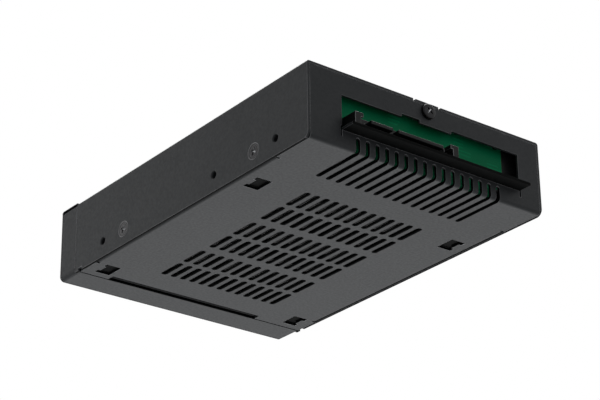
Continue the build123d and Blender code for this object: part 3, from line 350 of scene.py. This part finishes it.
def softEdgedCopy(name, nodes, look):
    # The nodes' own faces with every sharp edge rounded over by its width, painted by the rules. The
    # width is that of the first box in widthIn that holds the edge's middle, or else the look's edge.
    # With slide on, rounded edges follow the edges of a bend, which suits slots that run over it.
    mesh = unitedMesh(nodes) if len(nodes) > 1 else mergeFlats(frame["nodes"][nodes[0]].data.copy())
    mesh.materials.clear()
    mesh.polygons.foreach_set("material_index", np.zeros(len(mesh.polygons), dtype=np.int32))
    boxes = look.get("widthIn", ())
    widest = max([look["edge"]] + [width for width, low, high in boxes])
    shape = bmesh.new()
    shape.from_mesh(mesh)
    weight = shape.edges.layers.float.new("bevel_weight_edge")
    for edge in shape.edges:
        if edge.is_manifold and edge.calc_face_angle() > sharpEdge:
            middle = (edge.verts[0].co + edge.verts[1].co) / (2 * mm)
            width = next((width for width, low, high in boxes if within(middle, low, high)), look["edge"])
            edge[weight] = width / widest
    shape.to_mesh(mesh)
    shape.free()
    piece = newObject(name, mesh, look["finish"])
    rounding = piece.modifiers.new("RoundedEdges", "BEVEL")
    rounding.width = widest * mm
    rounding.segments = look.get("segments", 2)
    rounding.limit_method = "WEIGHT"
    rounding.use_clamp_overlap = False
    rounding.loop_slide = look.get("slide", False)
    # the new edge faces take the edge finish, which for sheet metal and connectors is a painted highlight
    rounding.material = look["finish"].index(look.get("edgeFinish", look["finish"][0]))
    shadeByAngle(mesh, sharpEdge)
    levelling = piece.modifiers.new("LevelFlats", "WEIGHTED_NORMAL")  # large flats keep their own normal
    levelling.keep_sharp = True
    piece.data = bpy.data.meshes.new_from_object(piece.evaluated_get(bpy.context.evaluated_depsgraph_get()))
    piece.modifiers.clear()
    paintFaces(piece.data, look["finish"], look.get("painted", ()))
    return standFor(piece, nodes)


def onBothSides(x, setback, z):  # a box given by its spans of x, setback and height, and its mirror image
    low, high = (rearWall - setback[1], z[0]), (rearWall - setback[0], z[1])
    return [((x[0], *low), (x[1], *high)), ((-x[1], *low), (-x[0], *high))]


floorVents = ((-39, rearWall - 133.0, -0.1), (39, rearWall - 22.0, 1.05))
rearSlots = ((-33, rearWall - 22.5, -0.1), (33, rearWall - 1.5, 0.1))
slotSides = ((-33, rearWall - 22.5, 0.1), (33, rearWall + 0.1, 5.2))
slotInside = ((-33, rearWall - 22.5, 0.9), (33, rearWall - 0.9, 6.0))
slotLengths = ((-33, rearWall - 13.0, -0.1), (33, rearWall - 9.5, 0.1))
shelfUnderside = ((-60, rearWall - 1.2, 6.2), (60, 90, 6.6))
shelfRim = ((-60, rearWall + 5.0, 6.2), (60, 90, 7.6))
frontSeam = ((-60, rearWall - 135.3, -0.1), (60, rearWall - 134.3, 1.05))
coverEdge = ((-51, -80, -0.1), (51, 80, 0.15))
sideHoles = [box for middle in (16.9, 50.8, 118.5)
             for box in onBothSides((49.0, 51.0), (middle - 2.2, middle + 2.2), (3.9, 8.3))]
hookOpenings = [box for near in (33.5, 123.5)
                for box in onBothSides((39.0, 46.0), (near, near + 8.0), (0.1, 9.0))]
reliefCorners = onBothSides((49.0, 50.2), (122.5, 124.6), (0.7, 1.6))
bandCorners = onBothSides((47.0, 51.0), (136.0, 137.6), (0.3, 2.6))
bezelCorners = onBothSides((49.0, 51.0), (145.5, 147.1), (26.0, 28.7))
railFeet = ((-60, -80, 0.8), (60, 80, 3.0))
plugTop = ((-5.5, 60, 7.0), (32.0, 90, 9.8))
# rounded sheet edges take the paler edge finish as a painted highlight, and the near-black finish is painted
# shade
sheetLook = {"finish": ("powder", "edge", "phosphate"), "edgeFinish": "edge"}
sheetMetal = {
    "FoldedPan": (("bottom_pan", "rear_wall"), {
        **sheetLook, "edge": 0.12, "slide": True,
        "widthIn": [(0.4, *floorVents), (0.3, *slotLengths), (0.0, *slotInside),
                    *((0.0, *box) for box in reliefCorners)],
        # painted shade: slot walls, shelf underside, front seam and hook openings are painted near black
        "painted": [("phosphate", "down", *shelfUnderside), ("phosphate", "any", *shelfRim),
                    ("phosphate", "walls", *floorVents), ("phosphate", "walls", *rearSlots),
                    ("phosphate", "sides", *slotSides), ("phosphate", "any", *frontSeam),
                    *(("phosphate", "any", *box) for box in hookOpenings)]}),
    "FoldedCover": (("top_cover", "side_panel_right", "side_panel_left"), {
        **sheetLook, "edge": 0.14,
        # painted shade along the side panels' lower edge faces; the side hole rims stay plain powder,
        # without the painted edge highlight
        "painted": [("phosphate", "down", *coverEdge), *(("powder", "any", *box) for box in sideHoles)]}),
    "FrontBand": (("front_frame",), {
        **sheetLook, "edge": 0.14,
        # painted shade along the front seam
        "widthIn": [(0.0, *box) for box in bandCorners], "painted": [("phosphate", "any", *frontSeam)]}),
}
for name, (nodes, look) in sheetMetal.items():
    softEdgedCopy(name, nodes, look)
print("sheet metal done")

# the rail feet, seen through the floor vents, are painted near black as shade
railLook = {"edge": 0.2, "finish": ("black", "phosphate"), "painted": [("phosphate", "down", *railFeet)]}
# the connectors' rounded edges take a painted highlight
connectorLook = {"edge": 0.15, "finish": ("connector", "connectorEdgeHighlight"), "edgeFinish": "connectorEdgeHighlight"}
mouldings = {
    "FrontBezel": (("front_bezel",), {
        "edge": 0.2, "finish": ("black",), "widthIn": [(0.0, *box) for box in bezelCorners]}),
    "GuideRailRight": (("guide_rail_right",), railLook),
    "GuideRailLeft": (("guide_rail_left",), railLook),
    "TrayBase": (("tray_base",), {"edge": 0.15, "finish": ("black",)}),
    "TrayFront": (("tray_front",), {"edge": 0.2, "finish": ("charcoal",)}),
    "HandleLever": (("handle",), {"edge": 0.3, "segments": 3, "finish": ("black",)}),
    "ReleaseButton": (("release_button",), {"edge": 0.1, "finish": ("charcoal",)}),
    "DriveReceptacle": (("drive_receptacle",), connectorLook),
    # below the plug's top the edges go back to the plain connector colour, so the painted highlight stays on
    # the top edges
    "RearPlug": (("rear_plug_housing",), {**connectorLook, "painted": [("connector", "any", *plugTop)]}),
    "BackplaneBoard": (("backplane_board",), {
        "edge": 0.1, "finish": ("board", "laminate"), "edgeFinish": "laminate"}),
    "LockBarrel": (("lock_barrel",), {"edge": 0.25, "segments": 3, "finish": ("chrome",)}),
    "LockCylinder": (("lock_cylinder",), {"edge": 0.06, "finish": ("chrome",)}),
    "LockCam": (("lock_cam",), {"edge": 0.15, "finish": ("nickel",)}),
}
for name, (nodes, look) in mouldings.items():
    softEdgedCopy(name, nodes, look)
print("mouldings done")


def shellPiece(name, shells, keys, nodes):
    # Each shell is a grid of rings (rings, points round, 3) in millimetres, with a finish index for all
    # or for each quad. Rings join to the next one all the way round, and flat caps close both ends.
    places, faces, slots, start = [], [], [], 0
    for points, slot in shells:
        rings, around = points.shape[:2]
        ring, step = np.meshgrid(np.arange(rings - 1), np.arange(around), indexing="ij")
        here, beside = ring * around + step, ring * around + (step + 1) % around
        quads = np.stack((here, beside, beside + around, here + around), -1).reshape(-1, 4) + start
        faces += quads.tolist()
        faces += [list(range(start, start + around)),
                  list(range(start + (rings - 1) * around, start + rings * around))]
        slot = np.broadcast_to(slot, (rings - 1) * around)
        slots += slot.tolist() + [int(slot[0]), int(slot[-1])]
        places.append(points.reshape(-1, 3))
        start += rings * around
    mesh = bpy.data.meshes.new(name)
    mesh.from_pydata(np.concatenate(places) * mm, [], faces)
    piece = newObject(name, mesh, keys)
    mesh.polygons.foreach_set("material_index", np.array(slots, dtype=np.int32))
    shape = bmesh.new()
    shape.from_mesh(mesh)
    bmesh.ops.recalc_face_normals(shape, faces=shape.faces)
    shape.to_mesh(mesh)
    shape.free()
    shadeByAngle(mesh, smoothBend)
    return standFor(piece, nodes)


def turned(profile, place, axis, sides=48):
    # Lathe: place + height * axis + radius * (cos(turn) * one side + sin(turn) * the other).
    # Radius and height are one value a ring, or one a ring and turn.
    radius, height = (np.array(value, float) for value in profile)
    radius, height = (value[:, None] if value.ndim == 1 else value for value in (radius, height))
    turn = np.linspace(0, tau, sides, endpoint=False)[None, :]
    axis = np.array(axis, float)
    one = np.cross(axis, (0.0, 0.0, 1.0) if abs(axis[2]) < 0.5 else (0.0, 1.0, 0.0))
    other = np.cross(axis, one)
    radius, height, turn = np.broadcast_arrays(radius, height, turn)
    return (np.array(place, float) + height[..., None] * axis
            + (radius * np.cos(turn))[..., None] * one + (radius * np.sin(turn))[..., None] * other)


def carried(path, outline, reference):
    # The outline (sideways, upwards) carried along the path: sideways is along x reference, and
    # upwards is sideways x along.
    path = np.asarray(path, float)
    along = np.gradient(path, axis=0)
    along /= np.linalg.norm(along, axis=1, keepdims=True)
    sideways = np.cross(along, reference)
    sideways /= np.linalg.norm(sideways, axis=1, keepdims=True)
    upwards = np.cross(sideways, along)
    outline = np.asarray(outline, float)
    if outline.ndim == 2:
        outline = np.broadcast_to(outline, (len(path), *outline.shape))
    return (path[:, None] + outline[..., 0, None] * sideways[:, None]
            + outline[..., 1, None] * upwards[:, None])


def roundOutline(radius, sides=12):  # a circle
    turn = np.linspace(0, tau, sides, endpoint=False)
    return radius * np.stack((np.cos(turn), np.sin(turn)), 1)


def boxOutline(width, height, corner, steps=3):  # a rectangle whose corners are quarter circles
    turn = np.linspace(0, pi / 2, steps)
    arc = corner * np.stack((np.cos(turn), np.sin(turn)), 1)
    inner = np.array((width / 2 - corner, height / 2 - corner))
    mirror = np.array((-1, 1))
    quarter = arc + inner
    return np.concatenate((quarter, quarter[::-1] * mirror, -quarter, quarter[::-1] * -mirror))


def smoothStep(value):  # 0 below 0, 1 above 1, and 3v^2 - 2v^3 between
    value = np.clip(value, 0, 1)
    return value * value * (3 - 2 * value)


screwLooks = {
    "flat": {"head": 2.75, "headHeight": 0.95, "rim": 0.08, "crown": 0.0, "cone": True, "shank": 1.45,
             "length": 5.0, "pitch": 0.5, "reach": 1.35, "arm": 0.3, "depth": 0.7, "groove": 0.05,
             "turn": 24},
    "pan": {"head": 2.7, "headHeight": 1.5, "rim": 0.6, "crown": 0.25, "cone": False, "shank": 1.45,
            "length": 3.0, "pitch": 0.5, "reach": 1.3, "arm": 0.28, "depth": 0.8, "groove": 0.0,
            "turn": 38},
    "small": {"head": 2.2, "headHeight": 1.4, "rim": 0.5, "crown": 0.2, "cone": False, "shank": 1.2,
              "length": 4.5, "pitch": 0.45, "reach": 1.1, "arm": 0.24, "depth": 0.7, "groove": 0.0,
              "turn": 12},
    "smallFlat": {"head": 2.2, "headHeight": 1.0, "rim": 0.08, "crown": 0.0, "cone": True, "shank": 1.2,
                  "length": 5.5, "pitch": 0.45, "reach": 1.1, "arm": 0.24, "depth": 0.6, "groove": 0.03,
                  "turn": 30},
    "cam": {"head": 1.5, "headHeight": 0.7, "rim": 0.25, "crown": 0.08, "cone": False, "shank": 0.8,
            "length": 4.0, "pitch": 0.35, "reach": 0.85, "arm": 0.18, "depth": 0.4, "groove": 0.0,
            "turn": 50},
}
screwForm = {  # what all screws share: counts of rings, parts of the sizes above, and three lengths
    "sides": 64, "faceRings": 26, "rimRings": 6, "threadRings": 6, "threadDepth": 0.14, "tip": 0.62,
    "tipLength": 0.3, "innermost": 0.04, "armSoftness": 0.35, "taper": 0.4, "grooveAt": 0.78,
    "grooveWidth": 0.12,
}


def screwShell(look, form, place, outwards):
    # Rings run from the middle of the head over its rim, under the head and down the shank. The cross
    # sinks by its depth where the point is inside either arm, both measured with smooth steps; the
    # thread is a triangle wave of (depth down the shank / pitch - turn / 360) on the shank's radius.
    turn = np.linspace(0, tau, form["sides"], endpoint=False)[None, :]
    flat = np.linspace(form["innermost"], look["head"] - look["rim"], form["faceRings"])
    crown = -look["crown"] * (flat / look["head"]) ** 2
    bend = np.linspace(0, pi / 2, form["rimRings"])[1:]
    radius = np.concatenate((flat, look["head"] - look["rim"] * (1 - np.sin(bend))))
    height = np.concatenate((crown, crown[-1] - look["rim"] * (1 - np.cos(bend))))
    heads = len(radius)
    underHead = -look["headHeight"]
    if not look["cone"]:
        radius, height = np.append(radius, look["head"]), np.append(height, underHead)
    depthDown = np.arange(0, look["length"] - form["tipLength"], look["pitch"] / form["threadRings"])
    wave = 1 - np.abs(2 * ((depthDown[:, None] / look["pitch"] - turn / tau) % 1) - 1)
    fade = smoothStep(depthDown / look["pitch"])[:, None]
    thread = look["shank"] * (1 - form["threadDepth"] * fade * (1 - wave))
    tip = np.full((1, form["sides"]), look["shank"] * form["tip"])
    radius = np.concatenate((np.repeat(radius[:, None], form["sides"], 1), thread, tip))
    height = np.concatenate((height, underHead - depthDown, [underHead - look["length"]]))
    height = height[:, None].repeat(form["sides"], 1)
    onHead = (np.arange(len(radius)) < heads)[:, None]
    lean = turn + radians(look["turn"])
    across, beyond = np.abs(radius * np.cos(lean)), np.abs(radius * np.sin(lean))
    soft = form["armSoftness"] * look["arm"]
    arms = [smoothStep((look["arm"] - narrow) / soft + 0.5) * smoothStep((look["reach"] - long) / soft + 0.5)
            for narrow, long in ((across, beyond), (beyond, across))]
    cross = np.maximum(*arms) * onHead
    height = height - look["depth"] * cross * (1 - form["taper"] * radius / look["reach"])
    ridge = (radius - form["grooveAt"] * look["head"]) / form["grooveWidth"]
    height = height - look["groove"] * np.exp(-ridge ** 2) * onHead
    rubbed = (cross[:-1] + cross[1:] > 1.0).astype(int).reshape(-1)
    return turned((radius, height), place, outwards, form["sides"]), rubbed


screwPlaces = {  # look, plating, direction of the head, places of the middle of its face, node
    "SideScrewsFlush": ("flat", "screw", None,
                        [(side * 50.75, setback, 6.1) for side in (1, -1) for setback in (28.7, 105.4)],
                        "side_screws"),
    "CoverPanScrew": ("pan", "screw", toRear, [(0.0, -1.5, 24.0)], "rear_screw"),
    "BezelScrews": ("smallFlat", "screw", toFront,
                    [(x, 136.5, z) for x in (44.7, -44.7) for z in (6.0, 18.0)], "bezel_screws"),
    "BoardScrews": ("small", "screw", toRear,
                    [(x, 2.1, z) for x in (43.2, -33.4) for z in (3.7, 23.5)], "board_screws"),
    "TrayFrontScrews": ("small", "screw", toRear,
                        [(x, 134.0, 8.0) for x in (30.0, -34.8)], "tray_front_screws"),
    "LockCamScrew": ("cam", "nickel", toRear, [(-41.5, 137.5, 13.3)], "lock_cam_screw"),
}
for name, (look, plating, direction, places, node) in screwPlaces.items():
    shells = [screwShell(screwLooks[look], screwForm, at(*place), direction or (np.sign(place[0]), 0, 0))
              for place in places]
    shellPiece(name, shells, (plating, "rubbed"), [node])
print("screws done")


def coil(look):  # a helix: radius * (cos, sin) of its turn, rising by the pitch each turn
    turn = np.linspace(0, look["turns"] * tau, int(look["turns"] * look["steps"]) + 1)
    phase = radians(look["start"]) + look["hand"] * turn
    rise = look["pitch"] * turn / tau
    path = np.stack((look["radius"] * np.cos(phase), look["radius"] * np.sin(phase), rise), 1)
    return path + at(look["x"], look["setback"], look["z"])


torsionSpring = {"radius": 2.0, "wire": 0.25, "pitch": 0.62, "turns": 5, "steps": 28, "start": 90,
                 "hand": -1, "leg": 8.0, "legRings": 8, "x": 42.5, "setback": 143.4, "z": 10.45}
returnSpring = {"radius": 1.3, "wire": 0.2, "pitch": 0.625, "turns": 6, "steps": 24, "start": 0,
                "hand": 1, "x": -26.4, "setback": 141.1, "z": 5.625, "travel": 2.0}


def springPieces(torsion, compression):
    # Round wire carried along each coil. The torsion spring's leg runs straight off its lowest turn.
    path = coil(torsion)
    tangent = (path[0] - path[1]) / np.linalg.norm(path[0] - path[1])
    steps = np.linspace(1, 0, torsion["legRings"] + 1)[:-1, None]
    path = np.concatenate((path[0] + steps * tangent * torsion["leg"], path))
    wire = carried(path, roundOutline(torsion["wire"]), upward)
    shellPiece("LeverTorsionSpring", [(wire, 0)], ("nickel",), ["handle_spring"])
    path = coil(compression)
    wire = carried(path, roundOutline(compression["wire"]), upward)
    pressed = shellPiece("ButtonReturnSpring", [(wire, 0)], ("nickel",), ["release_spring"])
    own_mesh(pressed)


springPieces(torsionSpring, returnSpring)

hingePin = {"radius": 1.0, "chamfer": 0.25, "z": (3.7, 22.8), "x": 42.5, "setback": 143.4, "plain": 0.6,
            "rings": 40, "sides": 60, "knurl": (19.6, 21.8), "ridges": 20, "ridgeDepth": 0.05}


def hingePinPiece(look):
    # Lathe profile with a chamfer at each end; inside the knurled length the radius dips with each ridge.
    low, high = look["z"]
    middle = np.linspace(low + look["plain"], high - look["plain"], look["rings"])
    height = np.concatenate(([low, low + look["chamfer"]], middle, [high - look["chamfer"], high]))
    radius = np.full(len(height), look["radius"])
    radius[[0, -1]] -= look["chamfer"]
    turn = np.linspace(0, tau, look["sides"], endpoint=False)[None, :]
    knurled = ((height > look["knurl"][0]) & (height < look["knurl"][1]))[:, None]
    radius = radius[:, None] - knurled * look["ridgeDepth"] * (0.5 + 0.5 * np.cos(look["ridges"] * turn))
    pin = turned((radius, height), at(look["x"], look["setback"], 0), upward, look["sides"])
    shellPiece("LeverHingePin", [(pin, 0)], ("nickel",), ["handle_pin"])


hingePinPiece(hingePin)

capacitors = {
    "x": (-24.0, -17.0, -10.0), "z": 18.5, "seat": 5.1, "radius": 2.5, "height": 5.0, "sides": 48,
    "foot": 0.02, "crimp": 1.5, "crimpDepth": 0.22, "crimpWidth": 0.28, "shoulder": 0.35,
    "innermost": 0.05, "vent": 1.4, "ventDepth": 0.06, "ventWidth": 0.16, "stripe": 0.9,
    "wallRings": 22, "bendRings": 6, "topRings": 16, "sealRings": 3,
}


def capacitorPieces(look):
    # Lathe profile of the can: a crimped waist above the seat, a rounded shoulder and a flat top
    # whose score lines are where either distance from the cross's arms is small. The stripe and the
    # rubber seal at the foot are black.
    turn = np.linspace(0, tau, look["sides"], endpoint=False)[None, :]
    wall = np.linspace(look["foot"], look["height"] - look["shoulder"], look["wallRings"])
    waist = look["crimpDepth"] * np.exp(-((wall - look["crimp"]) / look["crimpWidth"]) ** 2)
    bend = np.linspace(0, pi / 2, look["bendRings"])[1:]
    over = look["radius"] - look["shoulder"] * (1 - np.cos(bend))
    lift = look["height"] - look["shoulder"] * (1 - np.sin(bend))
    top = np.linspace(over[-1], look["innermost"], look["topRings"])[1:]
    radius = np.concatenate((look["radius"] - waist, over, top))[:, None].repeat(look["sides"], 1)
    height = np.concatenate((wall, lift, np.full(len(top), look["height"])))
    height = height[:, None].repeat(look["sides"], 1)
    nearest = np.minimum(np.abs(radius * np.cos(turn)), np.abs(radius * np.sin(turn)))
    scored = (1 - smoothStep(nearest / look["ventWidth"])) * (radius < look["vent"])
    height = height - look["ventDepth"] * scored
    ring = np.arange(len(radius) - 1)[:, None]
    dark = ((np.cos(turn) > look["stripe"]) & (ring < len(wall))) | (ring < look["sealRings"])
    slots = dark.astype(int).reshape(-1)
    shells = [(turned((radius, height), at(x, look["seat"], look["z"]), toFront, look["sides"]), slots)
              for x in look["x"]]
    shellPiece("BoardCapacitors", shells, ("can", "black"), ["board_capacitors"])


capacitorPieces(capacitors)

boardChip = {
    "x": 22.0, "z": 18.0, "seat": 5.1, "body": 5.4, "corner": 0.2, "over": 7.0, "height": 1.1,
    "standoff": 0.12, "draft": 0.25, "levels": (0.0, 0.02, 0.45, 0.55, 0.95, 1.0),
    "drafts": (1.1, 1.0, 0.0, 0.0, 1.0, 1.2), "leads": 8, "pitch": 0.6, "leadWidth": 0.26,
    "leadThick": 0.13, "leadCorner": 0.03,
    "wing": ((-0.2, 0.55), (0.15, 0.55), (0.3, 0.45), (0.42, 0.15), (0.55, 0.07)),
}


def chipPieces(look):
    # The body is a rounded square carried from the board outwards, widest at the parting line. Each
    # lead is a flat strip carried along a gull wing: out of the body, down, and out along the board.
    x, seat, z = look["x"], look["seat"], look["z"]
    depth = np.array(look["levels"]) * (look["height"] - look["standoff"])
    width = look["body"] - look["draft"] * np.array(look["drafts"])
    path = [at(x, seat + look["standoff"] + step, z) for step in depth]
    outlines = np.stack([boxOutline(size, size, look["corner"]) for size in width])
    shells = [(carried(path, outlines, upward), 0)]
    wing = [(look["body"] / 2 + out, lift) for out, lift in look["wing"]]
    wing.append((look["over"] / 2, look["wing"][-1][1]))
    strip = boxOutline(look["leadThick"], look["leadWidth"], look["leadCorner"], steps=2)
    for index in range(look["leads"]):
        offset = (index - (look["leads"] - 1) / 2) * look["pitch"]
        for side in (1, -1):
            level = [at(x + side * out, seat + lift, z + offset) for out, lift in wing]
            upright = [at(x + offset, seat + lift, z + side * out) for out, lift in wing]
            shells += [(carried(level, strip, upward), 1), (carried(upright, strip, toRight), 1)]
    shellPiece("BoardChip", shells, ("connector", "solder"), ["board_chip"])


chipPieces(boardChip)

contactLooks = {
    "pitch": 1.27, "signal": 7, "power": 15, "gap": 3.8, "width": 0.8, "thick": 0.15, "corner": 0.03,
    "socket": {"centre": 4.8, "profile": ((7.4, 7.88), (8.4, 7.88), (9.2, 8.15), (10.0, 8.45), (10.6, 8.35),
                                          (11.2, 7.98), (11.63, 7.88))},
    "plug": {"centre": 13.4, "profile": ((-1.6, 10.275), (-3.6, 10.275), (-4.1, 10.26), (-4.35, 10.2),
                                         (-4.5, 10.1))},
}


def contactShells(look, kind):
    # Flat strips at the pitch, all carried along one side profile of setbacks and heights.
    span = (look["signal"] - 1 + look["power"] - 1) * look["pitch"] + look["gap"]
    places = look[kind]["centre"] + span / 2 - np.arange(look["signal"] + look["power"]) * look["pitch"]
    places[look["signal"]:] += look["pitch"] - look["gap"]
    strip = boxOutline(look["thick"], look["width"], look["corner"], steps=2)
    paths = [[at(x, setback, z) for setback, z in look[kind]["profile"]] for x in places]
    return [(carried(path, strip, toRight), 0) for path in paths]


shellPiece("ReceptacleContacts", contactShells(contactLooks, "socket"), ("gold",), ["receptacle_contacts"])
shellPiece("RearPlugContacts", contactShells(contactLooks, "plug"), ("gold",), ["rear_plug_contacts"])

lightPipes = {"size": 1.5, "corner": 0.2, "setbacks": (6.5, 146.4), "z": 20.25, "chamfer": 0.2, "plain": 4.0,
              "rings": 8, "x": {"power_light_pipe": 38.0, "activity_light_pipe": 36.2}}


def lightPipePieces(look):  # a rounded square carried along the tray, drawn in at both ends
    near, far = look["setbacks"]
    middle = np.linspace(near + look["plain"], far - look["plain"], look["rings"])
    steps = np.concatenate(([near, near + look["chamfer"]], middle, [far - look["chamfer"], far]))
    sizes = np.full(len(steps), look["size"])
    sizes[[0, -1]] -= 2 * look["chamfer"]
    outlines = np.stack([boxOutline(size, size, look["corner"]) for size in sizes])
    for node, x in look["x"].items():
        path = [at(x, step, look["z"]) for step in steps]
        name = "".join(word.capitalize() for word in node.split("_"))
        shellPiece(name, [(carried(path, outlines, upward), 0)], ("acrylic",), [node])


lightPipePieces(lightPipes)

statusLamps = {
    "x": (38.0, 36.2), "z": 20.25, "size": 1.4, "height": 0.8, "seat": 5.1,
    "carrier": {"levels": (0.0, 0.38, 0.4), "shares": (1.0, 1.0, 0.97), "corner": 0.15},
    "lens": {"levels": (0.4, 0.8, 0.94, 1.0), "shares": (0.86, 0.82, 0.7, 0.4), "cornerShare": 0.3},
}


def statusLampPieces(look):
    # Each lamp is a tinned carrier carried off the board under a smaller milky lens with a soft crown.
    shells = []
    for x in look["x"]:
        for slot, part in ((1, look["carrier"]), (0, look["lens"])):
            path = [at(x, look["seat"] + level * look["height"], look["z"]) for level in part["levels"]]
            sizes = [look["size"] * share for share in part["shares"]]
            corners = [part.get("corner") or part["cornerShare"] * size for size in sizes]
            outlines = np.stack([boxOutline(size, size, corner) for size, corner in zip(sizes, corners)])
            shells.append((carried(path, outlines, upward), slot))
    shellPiece("StatusLamps", shells, ("resin", "solder"), ["status_lamps"])


statusLampPieces(statusLamps)
print("small parts done")

studio = {
    "cameraPlace": (404.407, 516.231, -285.937), "cameraTurn": (114.8903, 0.6931, 142.1598), "lens": 121.89,
    "sensor": 36.0, "clip": (10.0, 20000.0), "floorRadius": 1500.0, "floorSides": 96, "floorDrop": 0.02,
    "floorTone": "#f4f4f4", "floorLight": "#f8f8f8", "floorDrift": 3.0, "floorRough": 0.8,
    "ambient": 0.25, "lampDistance": 1200.0,
    "lamps": {  # direction from the object, edge of the softbox, watts
        "UnderKey": ((-0.45, -0.45, -0.86), 1100.0, 11.0),
        "TopKey": ((-0.25, -0.45, 0.85), 1100.0, 14.0),
        "FrontSideFill": ((0.6, -0.8, 0.1), 900.0, 2.5),
        "RearFill": ((-0.4, 0.9, 0.2), 900.0, 1.2),
    },
}


def makeStudio(look):
    camera = bpy.data.cameras.new("PhotographCamera")
    camera.lens, camera.sensor_width, camera.sensor_fit = look["lens"], look["sensor"], "HORIZONTAL"
    camera.clip_start, camera.clip_end = (value * mm for value in look["clip"])
    viewer = bpy.data.objects.new("PhotographCamera", camera)
    viewer.location = [value * mm for value in look["cameraPlace"]]
    viewer.rotation_euler = [radians(value) for value in look["cameraTurn"]]
    bpy.context.scene.collection.objects.link(viewer)
    bpy.context.scene.camera = viewer
    for name, (direction, edge, watts) in look["lamps"].items():
        lamp = bpy.data.lights.new(name, "AREA")
        lamp.size, lamp.energy = edge * mm, watts
        holder = bpy.data.objects.new(name, lamp)
        away = Vector(direction).normalized()
        holder.location = away * look["lampDistance"] * mm
        holder.rotation_euler = away.to_track_quat("Z", "Y").to_euler()
        bpy.context.scene.collection.objects.link(holder)


def oneWayFloor(look):
    # Pale floor just under the object. It is seen, and takes the shadow, from above only: the
    # photograph looks up at the underside, so its lower face lets light and sight through.
    angle = np.linspace(0, tau, look["floorSides"], endpoint=False)
    ring = np.stack((np.cos(angle), np.sin(angle), np.zeros_like(angle)), 1) * look["floorRadius"] * mm
    ring[:, 2] = -look["floorDrop"] * mm
    mesh = bpy.data.meshes.new("PaleFloor")
    mesh.from_pydata(ring.tolist(), [], [list(range(len(ring)))])
    material, tree, shader, onObject = newMaterial("PaleStudioFloor", {"Roughness": look["floorRough"]})
    drift = addNode(tree, "ShaderNodeTexNoise", {"Scale": look["floorDrift"]}, onObject)
    tone = addNode(tree, "ShaderNodeMix", {"data_type": "RGBA", 6: linearColour(look["floorTone"]),
                                           7: linearColour(look["floorLight"])}, {0: (drift, "Fac")})
    tree.links.new(tone.outputs[2], shader.inputs["Base Color"])
    side = addNode(tree, "ShaderNodeNewGeometry")
    path = addNode(tree, "ShaderNodeLightPath")
    above = addNode(tree, "ShaderNodeMath", {"operation": "SUBTRACT"}, {0: (path, "Is Camera Ray"),
                                                                       1: (side, "Backfacing")})
    shown = addNode(tree, "ShaderNodeMath", {"operation": "MAXIMUM", 1: 0.0}, {0: (above, "Value")})
    clear = addNode(tree, "ShaderNodeBsdfTransparent")
    either = addNode(tree, "ShaderNodeMixShader", links={0: (shown, "Value"), 1: (clear, "BSDF"),
                                                         2: (shader, "BSDF")})
    output = next(node for node in tree.nodes if node.type == "OUTPUT_MATERIAL")
    tree.links.new(either.outputs["Shader"], output.inputs["Surface"])
    mesh.materials.append(material)
    floor = bpy.data.objects.new("PaleFloor", mesh)
    bpy.context.scene.collection.objects.link(floor)


def whiteSurround(look):
    # White where the camera, gloss or glass looks past the object, and plain soft light elsewhere.
    world = bpy.data.worlds.new("WhiteSurround")
    bpy.context.scene.world = world
    world.use_nodes = True
    tree = world.node_tree
    tree.nodes.clear()
    path = addNode(tree, "ShaderNodeLightPath")
    first = addNode(tree, "ShaderNodeMath", {"operation": "MAXIMUM"}, {0: (path, "Is Camera Ray"),
                                                                      1: (path, "Is Glossy Ray")})
    seen = addNode(tree, "ShaderNodeMath", {"operation": "MAXIMUM"}, {0: (first, "Value"),
                                                                     1: (path, "Is Transmission Ray")})
    strength = addNode(tree, "ShaderNodeMapRange", {"To Min": look["ambient"], "To Max": 1.0},
                       {"Value": (seen, "Value")})
    light = addNode(tree, "ShaderNodeBackground", {"Color": (1.0, 1.0, 1.0, 1.0)},
                    {"Strength": (strength, "Result")})
    addNode(tree, "ShaderNodeOutputWorld", links={"Surface": (light, "Background")})


makeStudio(studio)
oneWayFloor(studio)
whiteSurround(studio)
bpy.context.scene.view_settings.view_transform = "Standard"
print("studio done")
